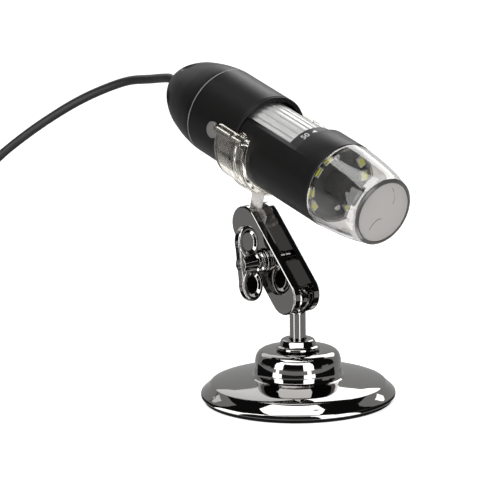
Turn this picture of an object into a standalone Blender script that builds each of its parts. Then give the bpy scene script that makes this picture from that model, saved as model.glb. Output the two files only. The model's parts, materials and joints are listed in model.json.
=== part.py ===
# Hand-held digital microscope in a clear clip, on a chromed stand with a two-ball clamp.
# Metres, +Z up. The origin is the centre of the foot's underside.

import math

import bmesh
import bpy
from mathutils import Matrix, Vector

TURN = 2.0 * math.pi

# Clearances
GAP = 0.0003            # between neighbouring pieces
CUT_OVERRUN = 0.0020    # how far a cutter runs past what it cuts

# Foot pad and base
PAD_RADIUS = 0.0348
PAD_THICKNESS = 0.0010
RIM_RADIUS = 0.0360
RIM_CHAMFER = 0.0005
RIM_HEIGHT = 0.0018
LEDGE_RADIUS = 0.03235
LEDGE_HEIGHT = 0.0066
CONE_TOP_RADIUS = 0.0172
CONE_TOP_HEIGHT = 0.0089
COVE = 0.0011
BOSS_RADIUS = 0.01595
BOSS_HEIGHT = 0.0189
BOSS_CORNER = 0.0034
BASE_WALL = 0.0016

# Collar nut and ball post
COLLAR_RADIUS = 0.0081
COLLAR_TOP_RADIUS = 0.0061
COLLAR_HEIGHT = 0.0038
COLLAR_EDGE = 0.0005
POST_RADIUS = 0.0030
POST_BURIED = 0.0143    # length of the post below the boss's top
BALL_RADIUS = 0.0046
BALL_NECK_RADIUS = 0.0024
NECK_LENGTH = 0.0003    # narrow part of the post under the ball
NECK_TAPER = 0.0009
LOWER_BALL_HEIGHT = 0.0382

# Clamp plates, screw, washer and wing nut
HEADING_DEG = -49.94    # way the stand's mechanism faces, about +Z from +X
CLAMP_TILT_DEG = -43.2  # clamp's lean from upright, about the plates' normal
BALL_SPACING = 0.0359
PLATE_SPACE = 0.0066
PLATE_WALL = 0.00285
PLATE_RADIUS = 0.0071
PLATE_PAST_BALL = 0.0051
PLATE_CHAMFER = 0.0009
SCREW_RADIUS = 0.0020
SCREW_HEAD_RADIUS = 0.0038
SCREW_HEAD_HEIGHT = 0.0022
WASHER_RADIUS = 0.0046
WASHER_THICKNESS = 0.0008
HUB_RADIUS = 0.0042
HUB_TOP_RADIUS = 0.0030
HUB_LENGTH = 0.0096
HUB_GROOVE = 0.0006
WING_REACH = 0.0140     # from the screw's axis to a wing's tip
WING_HALF_LENGTH = 0.0061
WING_HALF_WIDTH = 0.0048
WING_THICKNESS = 0.0030
WING_RIM = 0.0010
WING_DISH = 0.0006
WING_LIFT = 0.0054      # wing's centre above the nut's foot
WING_LEAN_DEG = -8.0
SPINE_REACH = 0.0090    # bar that joins the wings over the screw's end
SPINE_WIDTH = 0.0026
SPINE_DEPTH = 0.0017
SPINE_TOP = 0.0100

# Clip and its stem
BARREL_DROP_DEG = 14.92  # how far the nose points below level
BALL_TO_SKIN = 0.0152    # upper ball's centre to the barrel's skin
STEM_RADIUS = 0.0023
STEM_FLARE_RADIUS = 0.0036
STEM_FLARE_LENGTH = 0.0024
CLIP_WALL = 0.0018
CLIP_REAR = -0.0086     # stations along the barrel are measured from the stem's axis
CLIP_FRONT = 0.0094
CLIP_OPENING_DEG = 144.0
CLIP_LIP_DEG = 5.0
CLIP_LIP_HEIGHT = 0.0040
CLIP_RIB_REAR = -0.0002
CLIP_RIB_FRONT = 0.0033
CLIP_RIB_HEIGHT = 0.0007

# Barrel housing
BARREL_RADIUS = 0.01690
HOUSING_WALL = 0.0017
FRONT_INSET = 0.00054    # front shell's skin, in from the rear shell's
FRONT_WALL = 0.00116
RIM_STATION = 0.0005
CAP_LENGTH = 0.0260
CAP_END_RADIUS = 0.0060
REAR_SHELL_LENGTH = 0.0270
SPIGOT_LENGTH = 0.0035
WINDOW_LENGTH = 0.0281
WINDOW_DEG = 95.0
FRONT_SHELL_LENGTH = 0.04235

# Nose
NOSE_LENGTH = 0.0239
NOSE_WALL = 0.0015
NOSE_INSET = 0.00016     # from the front shell's skin
NOSE_TAPER = 0.00394
NOSE_RIM = 0.00106
NOSE_LIP_LENGTH = 0.0010
NOSE_SEAT = 0.0010
NOSE_WINDOW_THICKNESS = 0.0010
NOSE_WINDOW_DEPTH = 0.0003

# Focus wheel, chassis and optics
CHASSIS_INSET = 0.0023   # from the front shell's bore
CHASSIS_WALL = 0.0016
CHASSIS_REAR = -0.0050
CHASSIS_FLANGE = 0.0018
CHASSIS_FRONT_FLANGE = 0.0015
CHASSIS_LIP = 0.0039
WHEEL_INSET = 0.0004
WHEEL_RIBS = 32
RIB_DEPTH = 0.0007
SCALE_RING_LENGTH = 0.0031
CARRIAGE_LENGTH = 0.0160
CARRIAGE_START = 0.0060
CARRIAGE_WALL = 0.0018
LENS_TUBE_RADIUS = 0.0050
LENS_TIP_RADIUS = 0.0036
LENS_TUBE_END = 0.0501
LENS_TIP_END = 0.0561
LENS_RADIUS = 0.0026
LENS_THICKNESS = 0.0012
LENS_BULGE = 0.0005
LENS_SEAT = 0.0006
LENS_RECESS = 0.0006

# Electronics
LED_BOARD_THICKNESS = 0.0010
LED_CIRCLE_INSET = 0.0026
LED_LENGTH = 0.0030
LED_WIDTH = 0.0026
LED_HEIGHT = 0.0014
LED_PLACES_DEG = (34.0, 60.0, 98.0, 127.0)
LED_SCREW_PLACES_DEG = (12.0, 192.0)
LED_SCREW_INSET = 0.0020
LED_SCREW_RADIUS = 0.0007
LED_SCREW_LENGTH = 0.0022
LED_SCREW_HEAD_RADIUS = 0.0014
LED_SCREW_HEAD_HEIGHT = 0.0009
SENSOR_BOARD_INSET = 0.0029
SENSOR_BOARD_THICKNESS = 0.0010
SENSOR_SIZE = 0.0070
SENSOR_HEIGHT = 0.0014
MAIN_BOARD_THICKNESS = 0.0012
MAIN_BOARD_OFFSET = 0.0060
CHIP_SIZE = 0.0070
CHIP_HEIGHT = 0.0010

# Snap button and its switch
BUTTON_STATION = -0.0121
BUTTON_PLACE_DEG = 86.3
BUTTON_RADIUS = 0.0031
BUTTON_PROUD = 0.0005
BUTTON_FLANGE = 0.0006
BUTTON_FLANGE_THICKNESS = 0.0007
BUTTON_TRAVEL = 0.0004
SWITCH_SIZE = 0.0060
SWITCH_PLUNGER_RADIUS = 0.0016
SWITCH_PLUNGER_HEIGHT = 0.0010

# Cord, its grommet and its plug
CORD_RADIUS = 0.00175
GROMMET_RADIUS = 0.0024
GROMMET_PROUD = 0.0010
GROMMET_FLANGE = 0.0012
GROMMET_FLANGE_THICKNESS = 0.0010
CORD_POINT_SPACING = 0.0085
CORD_ROUTE = (
    (-0.0483, 0.0575, 0.1105),
    (-0.0555, 0.0670, 0.1084),
    (-0.0643, 0.0750, 0.1063),
    (-0.0746, 0.0805, 0.1019),
    (-0.0847, 0.0840, 0.0966),
    (-0.0949, 0.0860, 0.0902),
    (-0.1050, 0.0870, 0.0831),
    (-0.1151, 0.0870, 0.0750),
    (-0.1240, 0.0870, 0.0655),
    (-0.1315, 0.0870, 0.0545),
    (-0.1375, 0.0868, 0.0425),
    (-0.1430, 0.0864, 0.0305),
    (-0.1490, 0.0860, 0.0195),
    (-0.1570, 0.0855, 0.0100),
    (-0.1675, 0.0850, 0.0040),
)
COIL_CENTRE = (-0.1840, 0.0548)
COIL_INNER_RADIUS = 0.0115
COIL_PITCH = 0.0040
COIL_LAYER_HEIGHT = 0.0040
COIL_LIFT = 0.0009       # leaves room for the tie below the coil
COIL_TURNS = 9.25
COIL_POINTS_PER_TURN = 24
COIL_START_DEG = 90.0
COIL_TAIL_LENGTH = 0.0250
TIE_PLACE_DEG = 315.0
TIE_WIDTH = 0.0040
TIE_THICKNESS = 0.0005
TIE_SLACK = 0.0006       # round the bundle, inside and outside the coil
PLUG_LENGTH = 0.0270
PLUG_WIDTH = 0.0157
PLUG_HEIGHT = 0.0079
PLUG_CORNER = 0.0012
PLUG_SHELL_LENGTH = 0.0150
PLUG_SHELL_WIDTH = 0.0120
PLUG_SHELL_HEIGHT = 0.0045
PLUG_SHELL_WALL = 0.0003
PLUG_TONGUE_HEIGHT = 0.0018
RELIEF_LENGTH = 0.0110
RELIEF_RADIUS = 0.0031
RELIEF_TIP_RADIUS = 0.0023

# Smoothness of round pieces
BASE_STEPS = 40
BARREL_STEPS = 32
INNER_STEPS = 24
SMALL_STEPS = 20
TINY_STEPS = 10
SOFT_EDGE_DEG = 35.0

# Colour, roughness, metallic and how clear each material is
MATERIALS = {
    "black_pad": ((0.015, 0.015, 0.016), 0.85, 0.0, 0.0),
    "dark_chrome": ((0.30, 0.295, 0.29), 0.06, 1.0, 0.0),
    "cast_iron": ((0.12, 0.12, 0.12), 0.70, 1.0, 0.0),
    "clear_plastic": ((0.86, 0.83, 0.78), 0.12, 0.0, 0.8),
    "frosted_plastic": ((0.80, 0.79, 0.76), 0.35, 0.0, 0.5),
    "smoky_plastic": ((0.55, 0.54, 0.53), 0.08, 0.0, 0.8),
    "black_plastic": ((0.014, 0.014, 0.015), 0.38, 0.0, 0.0),
    "silver_wheel": ((0.62, 0.62, 0.61), 0.30, 0.6, 0.0),
    "inner_plastic": ((0.020, 0.020, 0.021), 0.50, 0.0, 0.0),
    "lens_glass": ((0.75, 0.80, 0.82), 0.03, 0.0, 0.9),
    "button_plastic": ((0.130, 0.125, 0.120), 0.45, 0.0, 0.0),
    "board_black": ((0.020, 0.022, 0.022), 0.55, 0.0, 0.0),
    "board_green": ((0.020, 0.120, 0.050), 0.50, 0.0, 0.0),
    "lamp_yellow": ((0.85, 0.78, 0.25), 0.40, 0.0, 0.0),
    "steel": ((0.55, 0.55, 0.56), 0.25, 1.0, 0.0),
    "cord_jacket": ((0.016, 0.016, 0.017), 0.45, 0.0, 0.0),
    "plug_plastic": ((0.016, 0.016, 0.017), 0.50, 0.0, 0.0),
    "tie_fabric": ((0.020, 0.020, 0.021), 0.90, 0.0, 0.0),
    "tongue_white": ((0.80, 0.80, 0.80), 0.50, 0.0, 0.0),
}

# Heights of the stand
base_foot = PAD_THICKNESS + GAP
collar_foot = BOSS_HEIGHT + GAP
collar_top = collar_foot + COLLAR_HEIGHT
plate_outside = PLATE_SPACE / 2.0 + PLATE_WALL
post_bore = POST_RADIUS + GAP
screw_bore = SCREW_RADIUS + GAP
nut_foot = plate_outside + GAP + WASHER_THICKNESS + GAP
nut_bore_depth = SPINE_TOP - SPINE_DEPTH

# Radii inside the barrel, each worked out from what surrounds it
housing_bore = BARREL_RADIUS - HOUSING_WALL
inner_fit = housing_bore - GAP
front_radius = BARREL_RADIUS - FRONT_INSET
front_bore = front_radius - FRONT_WALL
front_fit = front_bore - GAP
chassis_radius = front_bore - CHASSIS_INSET
chassis_bore = chassis_radius - CHASSIS_WALL
chassis_mouth = chassis_radius - CHASSIS_LIP
wheel_bore = chassis_radius + GAP
wheel_radius = front_bore - WHEEL_INSET
nose_rear_radius = front_radius - NOSE_INSET
nose_face_radius = nose_rear_radius - NOSE_TAPER
nose_opening = nose_face_radius - NOSE_RIM
led_circle = front_bore - LED_CIRCLE_INSET
led_screw_circle = led_circle - LED_SCREW_INSET
sensor_board_radius = housing_bore - SENSOR_BOARD_INSET
stem_to_barrel = BALL_TO_SKIN + BARREL_RADIUS

# Stations along the barrel, from the stem's axis towards the nose
seam_station = RIM_STATION - REAR_SHELL_LENGTH
tail_station = seam_station - CAP_LENGTH
front_rear = RIM_STATION + GAP
step_station = RIM_STATION + WINDOW_LENGTH
boundary_station = RIM_STATION + FRONT_SHELL_LENGTH
nose_station = boundary_station + NOSE_LENGTH
chassis_front = boundary_station - NOSE_LIP_LENGTH - LED_HEIGHT - LED_BOARD_THICKNESS - 3.0 * GAP
wheel_start = CHASSIS_REAR + CHASSIS_FLANGE + GAP
ring_end = step_station - GAP
ring_start = ring_end - SCALE_RING_LENGTH
wheel_end = ring_start - GAP
board_start = chassis_front + GAP
led_start = board_start + LED_BOARD_THICKNESS + GAP


# Mesh helpers

def finish_mesh(name, bm):
    bmesh.ops.recalc_face_normals(bm, faces=bm.faces)
    mesh = bpy.data.meshes.new(name)
    bm.to_mesh(mesh)
    bm.free()
    mesh.shade_smooth()
    mesh.set_sharp_from_angle(angle=math.radians(SOFT_EDGE_DEG))
    return mesh


def revolve(name, outline, steps, start=0.0, sweep=TURN):
    # Turns a closed outline of (radius, height) points about Z.
    full = math.isclose(sweep, TURN)
    count = steps if full else steps + 1
    bm = bmesh.new()
    on_axis = {}
    columns = []
    for i in range(count):
        angle = start + sweep * i / steps
        column = []
        for k, (radius, height) in enumerate(outline):
            if radius == 0.0:
                if k not in on_axis:
                    on_axis[k] = bm.verts.new((0.0, 0.0, height))
                column.append(on_axis[k])
            else:
                spot = (radius * math.cos(angle), radius * math.sin(angle), height)
                column.append(bm.verts.new(spot))
        columns.append(column)
    for i in range(steps):
        near = columns[i]
        far = columns[(i + 1) % count]
        for k in range(len(outline)):
            j = (k + 1) % len(outline)
            corners = list(dict.fromkeys((near[k], near[j], far[j], far[k])))
            if len(corners) > 2:
                bm.faces.new(corners)
    if not full:
        bm.faces.new(columns[0])
        bm.faces.new(columns[-1])
    return finish_mesh(name, bm)


def prism(name, points, bottom, top):
    # Extrudes a closed outline of (x, y) points along Z.
    bm = bmesh.new()
    floor = bm.faces.new([bm.verts.new((x, y, bottom)) for x, y in points])
    raised = bmesh.ops.extrude_face_region(bm, geom=[floor])["geom"]
    moved = [item for item in raised if isinstance(item, bmesh.types.BMVert)]
    bmesh.ops.translate(bm, verts=moved, vec=(0.0, 0.0, top - bottom))
    return finish_mesh(name, bm)


def loft(name, rings):
    # Joins a stack of rings, each with as many points, and caps both ends.
    bm = bmesh.new()
    loops = [[bm.verts.new(point) for point in ring] for ring in rings]
    size = len(loops[0])
    for lower, upper in zip(loops, loops[1:]):
        for i in range(size):
            j = (i + 1) % size
            bm.faces.new((lower[i], lower[j], upper[j], upper[i]))
    bm.faces.new(loops[0])
    bm.faces.new(loops[-1])
    return finish_mesh(name, bm)


def arc(centre_height, radius, start_deg, end_deg, steps):
    # Points of a circle centred on the axis, as (radius, height); 0 degrees is level, 90 is up.
    points = []
    for i in range(steps + 1):
        angle = math.radians(start_deg + (end_deg - start_deg) * i / steps)
        reach = radius * math.cos(angle)
        if math.isclose(abs(math.sin(angle)), 1.0):
            reach = 0.0
        points.append((reach, centre_height + radius * math.sin(angle)))
    return points


def inset(outline, distance):
    # Moves an open outline inwards, to the left of its direction, by one distance.
    moved = []
    sides = []
    for (r0, z0), (r1, z1) in zip(outline, outline[1:]):
        length = math.hypot(r1 - r0, z1 - z0)
        sides.append(((r1 - r0) / length, (z1 - z0) / length))
    for i, (radius, height) in enumerate(outline):
        before = sides[max(i - 1, 0)]
        after = sides[min(i, len(sides) - 1)]
        normal = Vector((-before[1] - after[1], before[0] + after[0])).normalized()
        stretch = normal.x * -before[1] + normal.y * before[0]
        moved.append((radius + normal.x * distance / stretch, height + normal.y * distance / stretch))
    return moved


def rounded_rectangle(width, height, corner, steps=3):
    points = []
    for quarter in range(4):
        across = (1.0, -1.0, -1.0, 1.0)[quarter]
        along = (1.0, 1.0, -1.0, -1.0)[quarter]
        for i in range(steps + 1):
            angle = (quarter + i / steps) * TURN / 4.0
            x = across * (width / 2.0 - corner) + corner * math.cos(angle)
            y = along * (height / 2.0 - corner) + corner * math.sin(angle)
            points.append((x, y))
    return points


def rectangle(width, height):
    x = width / 2.0
    y = height / 2.0
    return [(-x, -y), (x, -y), (x, y), (-x, y)]


def stadium(radius, low, high, steps):
    # Long outline with half-round ends centred at heights low and high.
    points = []
    for i in range(steps + 1):
        angle = TURN / 2.0 * i / steps
        points.append((radius * math.cos(angle), high + radius * math.sin(angle)))
    for i in range(steps + 1):
        angle = TURN / 2.0 * (1.0 + i / steps)
        points.append((radius * math.cos(angle), low + radius * math.sin(angle)))
    return points


# Scene helpers

def clear_scene():
    for thing in list(bpy.data.objects):
        bpy.data.objects.remove(thing, do_unlink=True)


def make_materials():
    made = {}
    for name, (colour, roughness, metallic, clear) in MATERIALS.items():
        material = bpy.data.materials.new(name)
        material.use_nodes = True
        shader = material.node_tree.nodes["Principled BSDF"]
        shader.inputs["Base Color"].default_value = (*colour, 1.0)
        shader.inputs["Roughness"].default_value = roughness
        shader.inputs["Metallic"].default_value = metallic
        shader.inputs["Transmission Weight"].default_value = clear
        material.diffuse_color = (*colour, 1.0)
        made[name] = material
    return made


def add_object(name, data, material, parent=None, matrix=None):
    thing = bpy.data.objects.new(name, data)
    bpy.context.collection.objects.link(thing)
    data.materials.append(materials[material])
    thing.parent = parent
    if matrix is not None:
        thing.matrix_basis = matrix
    return thing


def add_frame(name, parent, origin, x_axis, z_axis):
    # An empty whose axes are given in its parent's axes.
    x = Vector(x_axis).normalized()
    z = Vector(z_axis).normalized()
    y = z.cross(x)
    turn = Matrix((x, y, z)).transposed().to_4x4()
    empty = bpy.data.objects.new(name, None)
    bpy.context.collection.objects.link(empty)
    empty.parent = parent
    empty.matrix_basis = Matrix.Translation(origin) @ turn
    return empty


def apply_tool(target, tool_name, data, operation, matrix=None):
    # Cuts a hidden tool out of target, or joins it on; the tool sits in target's own axes.
    tool = bpy.data.objects.new(tool_name, data)
    bpy.context.collection.objects.link(tool)
    tool.parent = target
    if matrix is not None:
        tool.matrix_basis = matrix
    tool.hide_render = True
    tool.display_type = "WIRE"
    modifier = target.modifiers.new(tool_name, "BOOLEAN")
    modifier.operation = operation
    modifier.object = tool


def around(angle_deg):
    return Matrix.Rotation(math.radians(angle_deg), 4, "Z")


# Stand

def base_outline():
    # Outside of the base, from the foot's edge up to the boss's top.
    lip_height = base_foot + RIM_HEIGHT
    corner_height = BOSS_HEIGHT - BOSS_CORNER
    corner_centre = BOSS_RADIUS - BOSS_CORNER
    points = [
        (RIM_RADIUS - RIM_CHAMFER, base_foot),
        (RIM_RADIUS, base_foot + RIM_CHAMFER),
        (RIM_RADIUS, lip_height),
        (LEDGE_RADIUS, LEDGE_HEIGHT),
        (CONE_TOP_RADIUS, CONE_TOP_HEIGHT),
        (BOSS_RADIUS, CONE_TOP_HEIGHT + COVE),
    ]
    for radius, height in arc(corner_height, BOSS_CORNER, 0.0, 90.0, 4):
        points.append((corner_centre + radius, height))
    return points


def make_stand():
    add_object(
        "foot_pad",
        revolve("foot_pad", [(0.0, 0.0), (PAD_RADIUS, 0.0), (PAD_RADIUS, PAD_THICKNESS),
                             (0.0, PAD_THICKNESS)], BASE_STEPS),
        "black_pad",
    )
    outside = base_outline()
    inside = inset(outside, BASE_WALL)
    inside[0] = (inside[0][0], base_foot)
    inside[-1] = (post_bore, inside[-1][1])
    shell = outside + [(post_bore, BOSS_HEIGHT)] + inside[::-1]
    add_object("base_shell", revolve("base_shell", shell, BASE_STEPS), "dark_chrome")

    weight = inset(outside, BASE_WALL + GAP)
    weight[0] = (weight[0][0], base_foot)
    weight[-1] = (post_bore, weight[-1][1])
    bore_bottom = BOSS_HEIGHT - POST_BURIED - GAP
    ballast = [(0.0, base_foot)] + weight + [(post_bore, bore_bottom), (0.0, bore_bottom)]
    add_object("ballast", revolve("ballast", ballast, INNER_STEPS), "cast_iron")

    collar = [
        (post_bore, collar_foot),
        (COLLAR_RADIUS - COLLAR_EDGE, collar_foot),
        (COLLAR_RADIUS, collar_foot + COLLAR_EDGE),
        (COLLAR_TOP_RADIUS, collar_top - COLLAR_EDGE),
        (COLLAR_TOP_RADIUS - COLLAR_EDGE, collar_top),
        (post_bore, collar_top),
    ]
    add_object("collar_nut", revolve("collar_nut", collar, BARREL_STEPS), "dark_chrome")

    neck_deg = -math.degrees(math.acos(BALL_NECK_RADIUS / BALL_RADIUS))
    neck_foot = LOWER_BALL_HEIGHT + BALL_RADIUS * math.sin(math.radians(neck_deg)) - NECK_LENGTH
    bottom = BOSS_HEIGHT - POST_BURIED
    post = [
        (0.0, bottom),
        (POST_RADIUS, bottom),
        (POST_RADIUS, neck_foot - NECK_TAPER),
        (BALL_NECK_RADIUS, neck_foot),
    ]
    post += arc(LOWER_BALL_HEIGHT, BALL_RADIUS, neck_deg, 90.0, 9)
    add_object("ball_post", revolve("ball_post", post, SMALL_STEPS), "dark_chrome")


# Clamp

def make_plate(name, side, frame):
    # side is 1 for the plate away from the wing nut and -1 for the one under it.
    inner = side * PLATE_SPACE / 2.0
    shoulder = side * (plate_outside - PLATE_CHAMFER)
    outer = side * plate_outside
    low = PLATE_RADIUS - PLATE_PAST_BALL
    high = BALL_SPACING - low
    face = PLATE_RADIUS - PLATE_CHAMFER
    rings = []
    for radius, depth in ((PLATE_RADIUS, inner), (PLATE_RADIUS, shoulder), (face, outer)):
        rings.append([(x, depth, z) for x, z in stadium(radius, low, high, 12)])
    plate = add_object(name, loft(name, rings), "dark_chrome", frame)
    socket = BALL_RADIUS + GAP
    ball = revolve(name + "_socket", arc(0.0, socket, -90.0, 90.0, 12), SMALL_STEPS)
    apply_tool(plate, name + "_low_socket", ball, "DIFFERENCE")
    lift = Matrix.Translation((0.0, 0.0, BALL_SPACING))
    apply_tool(plate, name + "_high_socket", ball, "DIFFERENCE", lift)
    reach = plate_outside + CUT_OVERRUN
    hole = [(0.0, -reach), (screw_bore, -reach), (screw_bore, reach), (0.0, reach)]
    across = Matrix.Translation((0.0, 0.0, BALL_SPACING / 2.0)) @ Matrix.Rotation(TURN / 4.0, 4, "X")
    bore = revolve(name + "_bore", hole, SMALL_STEPS)
    apply_tool(plate, name + "_screw_bore", bore, "DIFFERENCE", across)


def make_wing_nut(frame):
    groove = HUB_RADIUS - HUB_GROOVE
    ring_height = HUB_LENGTH / 8.0
    hub = [
        (0.0, 0.0),
        (HUB_RADIUS, 0.0),
        (HUB_RADIUS, ring_height),
        (groove, ring_height + HUB_GROOVE),
        (groove, 2.0 * ring_height),
        (HUB_RADIUS, 2.0 * ring_height + HUB_GROOVE),
        (HUB_RADIUS, 3.0 * ring_height + HUB_GROOVE),
        (HUB_TOP_RADIUS, HUB_LENGTH - HUB_GROOVE),
        (HUB_TOP_RADIUS - HUB_GROOVE, HUB_LENGTH),
        (0.0, HUB_LENGTH),
    ]
    place = Matrix.Translation((0.0, 0.0, nut_foot))
    nut = add_object("wing_nut", revolve("wing_nut", hub, SMALL_STEPS), "dark_chrome", frame, place)
    half = WING_THICKNESS / 2.0
    rim = WING_RIM / WING_HALF_LENGTH
    lobe = [
        (0.0, WING_DISH - half),
        (1.0 - 2.0 * rim, WING_DISH - half),
        (1.0 - rim, -half),
        (1.0, -half + WING_DISH),
        (1.0, half - WING_DISH),
        (1.0 - rim, half),
        (1.0 - 2.0 * rim, half - WING_DISH),
        (0.0, half - WING_DISH),
    ]
    for side in (1.0, -1.0):
        label = "wing_up" if side > 0.0 else "wing_down"
        spot = (side * (WING_REACH - WING_HALF_LENGTH), 0.0, WING_LIFT)
        oval = Matrix.Diagonal((WING_HALF_LENGTH, WING_HALF_WIDTH, 1.0, 1.0))
        upright = Matrix.Rotation(TURN / 4.0, 4, "X")
        mesh = revolve(label, lobe, SMALL_STEPS)
        mesh.transform(Matrix.Translation(spot) @ upright @ oval)
        apply_tool(nut, label, mesh, "UNION")
    spine = prism("wing_spine", rectangle(2.0 * SPINE_REACH, SPINE_WIDTH), nut_bore_depth, SPINE_TOP)
    apply_tool(nut, "wing_spine", spine, "UNION")
    bore = [(0.0, -CUT_OVERRUN), (screw_bore, -CUT_OVERRUN),
            (screw_bore, nut_bore_depth), (0.0, nut_bore_depth)]
    apply_tool(nut, "nut_bore", revolve("nut_bore", bore, SMALL_STEPS), "DIFFERENCE")


def make_clamp(clamp_frame):
    make_plate("near_plate", -1.0, clamp_frame)
    make_plate("far_plate", 1.0, clamp_frame)
    lean = math.radians(WING_LEAN_DEG)
    screw_frame = add_frame(
        "screw_axis", clamp_frame, (0.0, 0.0, BALL_SPACING / 2.0),
        (math.sin(lean - math.radians(CLAMP_TILT_DEG)), 0.0, math.cos(lean - math.radians(CLAMP_TILT_DEG))),
        (0.0, -1.0, 0.0),
    )
    head = -plate_outside - GAP
    end = nut_foot + nut_bore_depth - GAP
    edge = SCREW_HEAD_HEIGHT / 4.0
    screw = [
        (0.0, head - SCREW_HEAD_HEIGHT),
        (SCREW_HEAD_RADIUS - edge, head - SCREW_HEAD_HEIGHT),
        (SCREW_HEAD_RADIUS, head - SCREW_HEAD_HEIGHT + edge),
        (SCREW_HEAD_RADIUS, head),
        (SCREW_RADIUS, head),
        (SCREW_RADIUS, end),
        (0.0, end),
    ]
    add_object("clamp_screw", revolve("clamp_screw", screw, SMALL_STEPS), "dark_chrome", screw_frame)
    foot = plate_outside + GAP
    washer = [(screw_bore, foot), (WASHER_RADIUS, foot), (WASHER_RADIUS, foot + WASHER_THICKNESS),
              (screw_bore, foot + WASHER_THICKNESS)]
    mesh = revolve("clamp_washer", washer, SMALL_STEPS)
    add_object("clamp_washer", mesh, "dark_chrome", screw_frame)
    make_wing_nut(screw_frame)


# Clip and stem

def make_stem(stem_frame):
    neck_deg = -math.degrees(math.acos(STEM_RADIUS / BALL_RADIUS))
    top = stem_to_barrel - BARREL_RADIUS - GAP - CLIP_WALL - CLIP_RIB_HEIGHT - GAP
    flare = top - STEM_FLARE_LENGTH
    stem = arc(0.0, BALL_RADIUS, -90.0, -neck_deg, 9)
    stem += [(STEM_RADIUS, flare), (STEM_FLARE_RADIUS, top), (0.0, top)]
    add_object("ball_stem", revolve("ball_stem", stem, SMALL_STEPS), "frosted_plastic", stem_frame)


def make_clip(barrel_frame):
    inner = BARREL_RADIUS + GAP
    outer = inner + CLIP_WALL
    start = CLIP_OPENING_DEG / 2.0
    sweep = 360.0 - CLIP_OPENING_DEG
    band = [
        (inner, CLIP_REAR),
        (outer, CLIP_REAR),
        (outer, CLIP_RIB_REAR),
        (outer + CLIP_RIB_HEIGHT, CLIP_RIB_REAR),
        (outer + CLIP_RIB_HEIGHT, CLIP_RIB_FRONT),
        (outer, CLIP_RIB_FRONT),
        (outer, CLIP_FRONT),
        (inner, CLIP_FRONT),
    ]
    mesh = revolve("clip_band", band, BARREL_STEPS, math.radians(start), math.radians(sweep))
    clip = add_object("clip_band", mesh, "clear_plastic", barrel_frame)
    lip = [(inner, CLIP_REAR), (inner + CLIP_LIP_HEIGHT, CLIP_REAR),
           (inner + CLIP_LIP_HEIGHT, CLIP_FRONT), (inner, CLIP_FRONT)]
    for label, place in (("near_lip", start), ("far_lip", start + sweep - CLIP_LIP_DEG)):
        block = revolve(label, lip, 2, math.radians(place), math.radians(CLIP_LIP_DEG))
        apply_tool(clip, label, block, "UNION")


# Barrel housing

def cap_outline():
    # Domed rear of the barrel, from the seam to the flat round the cord's hole.
    seam_to_flat_shares = (
        (0.00, 1.000), (0.08, 0.991), (0.19, 0.966), (0.31, 0.931), (0.46, 0.870),
        (0.58, 0.811), (0.69, 0.736), (0.80, 0.640), (0.88, 0.555), (0.95, 0.462),
    )
    points = [(BARREL_RADIUS * r, seam_station - CAP_LENGTH * d) for d, r in seam_to_flat_shares]
    points.append((CAP_END_RADIUS, tail_station))
    return points


def make_rear_cap(frame):
    outside = cap_outline()
    cord_hole = GROMMET_RADIUS + GAP
    inside = inset(outside, -HOUSING_WALL)
    inside[-1] = (cord_hole, tail_station + HOUSING_WALL)
    spigot_end = seam_station + SPIGOT_LENGTH
    spigot_bore = inner_fit - HOUSING_WALL
    rim = [
        (spigot_bore, seam_station - SPIGOT_LENGTH),
        (spigot_bore, spigot_end),
        (inner_fit, spigot_end),
        (inner_fit, seam_station),
    ]
    inside = [p for p in inside if p[1] < seam_station - SPIGOT_LENGTH]
    outline = outside + [(cord_hole, tail_station)] + inside[::-1] + rim
    add_object("rear_cap", revolve("rear_cap", outline, BARREL_STEPS), "black_plastic", frame)


def make_rear_shell(frame):
    rear = seam_station + GAP
    outline = [(housing_bore, rear), (BARREL_RADIUS, rear), (BARREL_RADIUS, RIM_STATION),
               (housing_bore, RIM_STATION)]
    mesh = revolve("rear_shell", outline, BARREL_STEPS)
    shell = add_object("rear_shell", mesh, "black_plastic", frame)
    reach = BUTTON_RADIUS + GAP
    hole = [(0.0, 0.0), (reach, 0.0), (reach, BARREL_RADIUS + CUT_OVERRUN),
            (0.0, BARREL_RADIUS + CUT_OVERRUN)]
    apply_tool(shell, "button_hole", revolve("button_hole", hole, SMALL_STEPS), "DIFFERENCE",
               button_matrix())


def make_front_shell(frame):
    outline = [(front_bore, front_rear), (front_radius, front_rear),
               (front_radius, boundary_station), (front_bore, boundary_station)]
    mesh = revolve("front_shell", outline, BARREL_STEPS)
    shell = add_object("front_shell", mesh, "black_plastic", frame)
    low = front_bore - CUT_OVERRUN
    high = front_radius + CUT_OVERRUN
    cut = [(low, RIM_STATION - CUT_OVERRUN), (high, RIM_STATION - CUT_OVERRUN),
           (high, step_station), (low, step_station)]
    sweep = math.radians(WINDOW_DEG)
    window = revolve("wheel_window", cut, TINY_STEPS, -sweep / 2.0, sweep)
    apply_tool(shell, "wheel_window", window, "DIFFERENCE")


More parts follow.
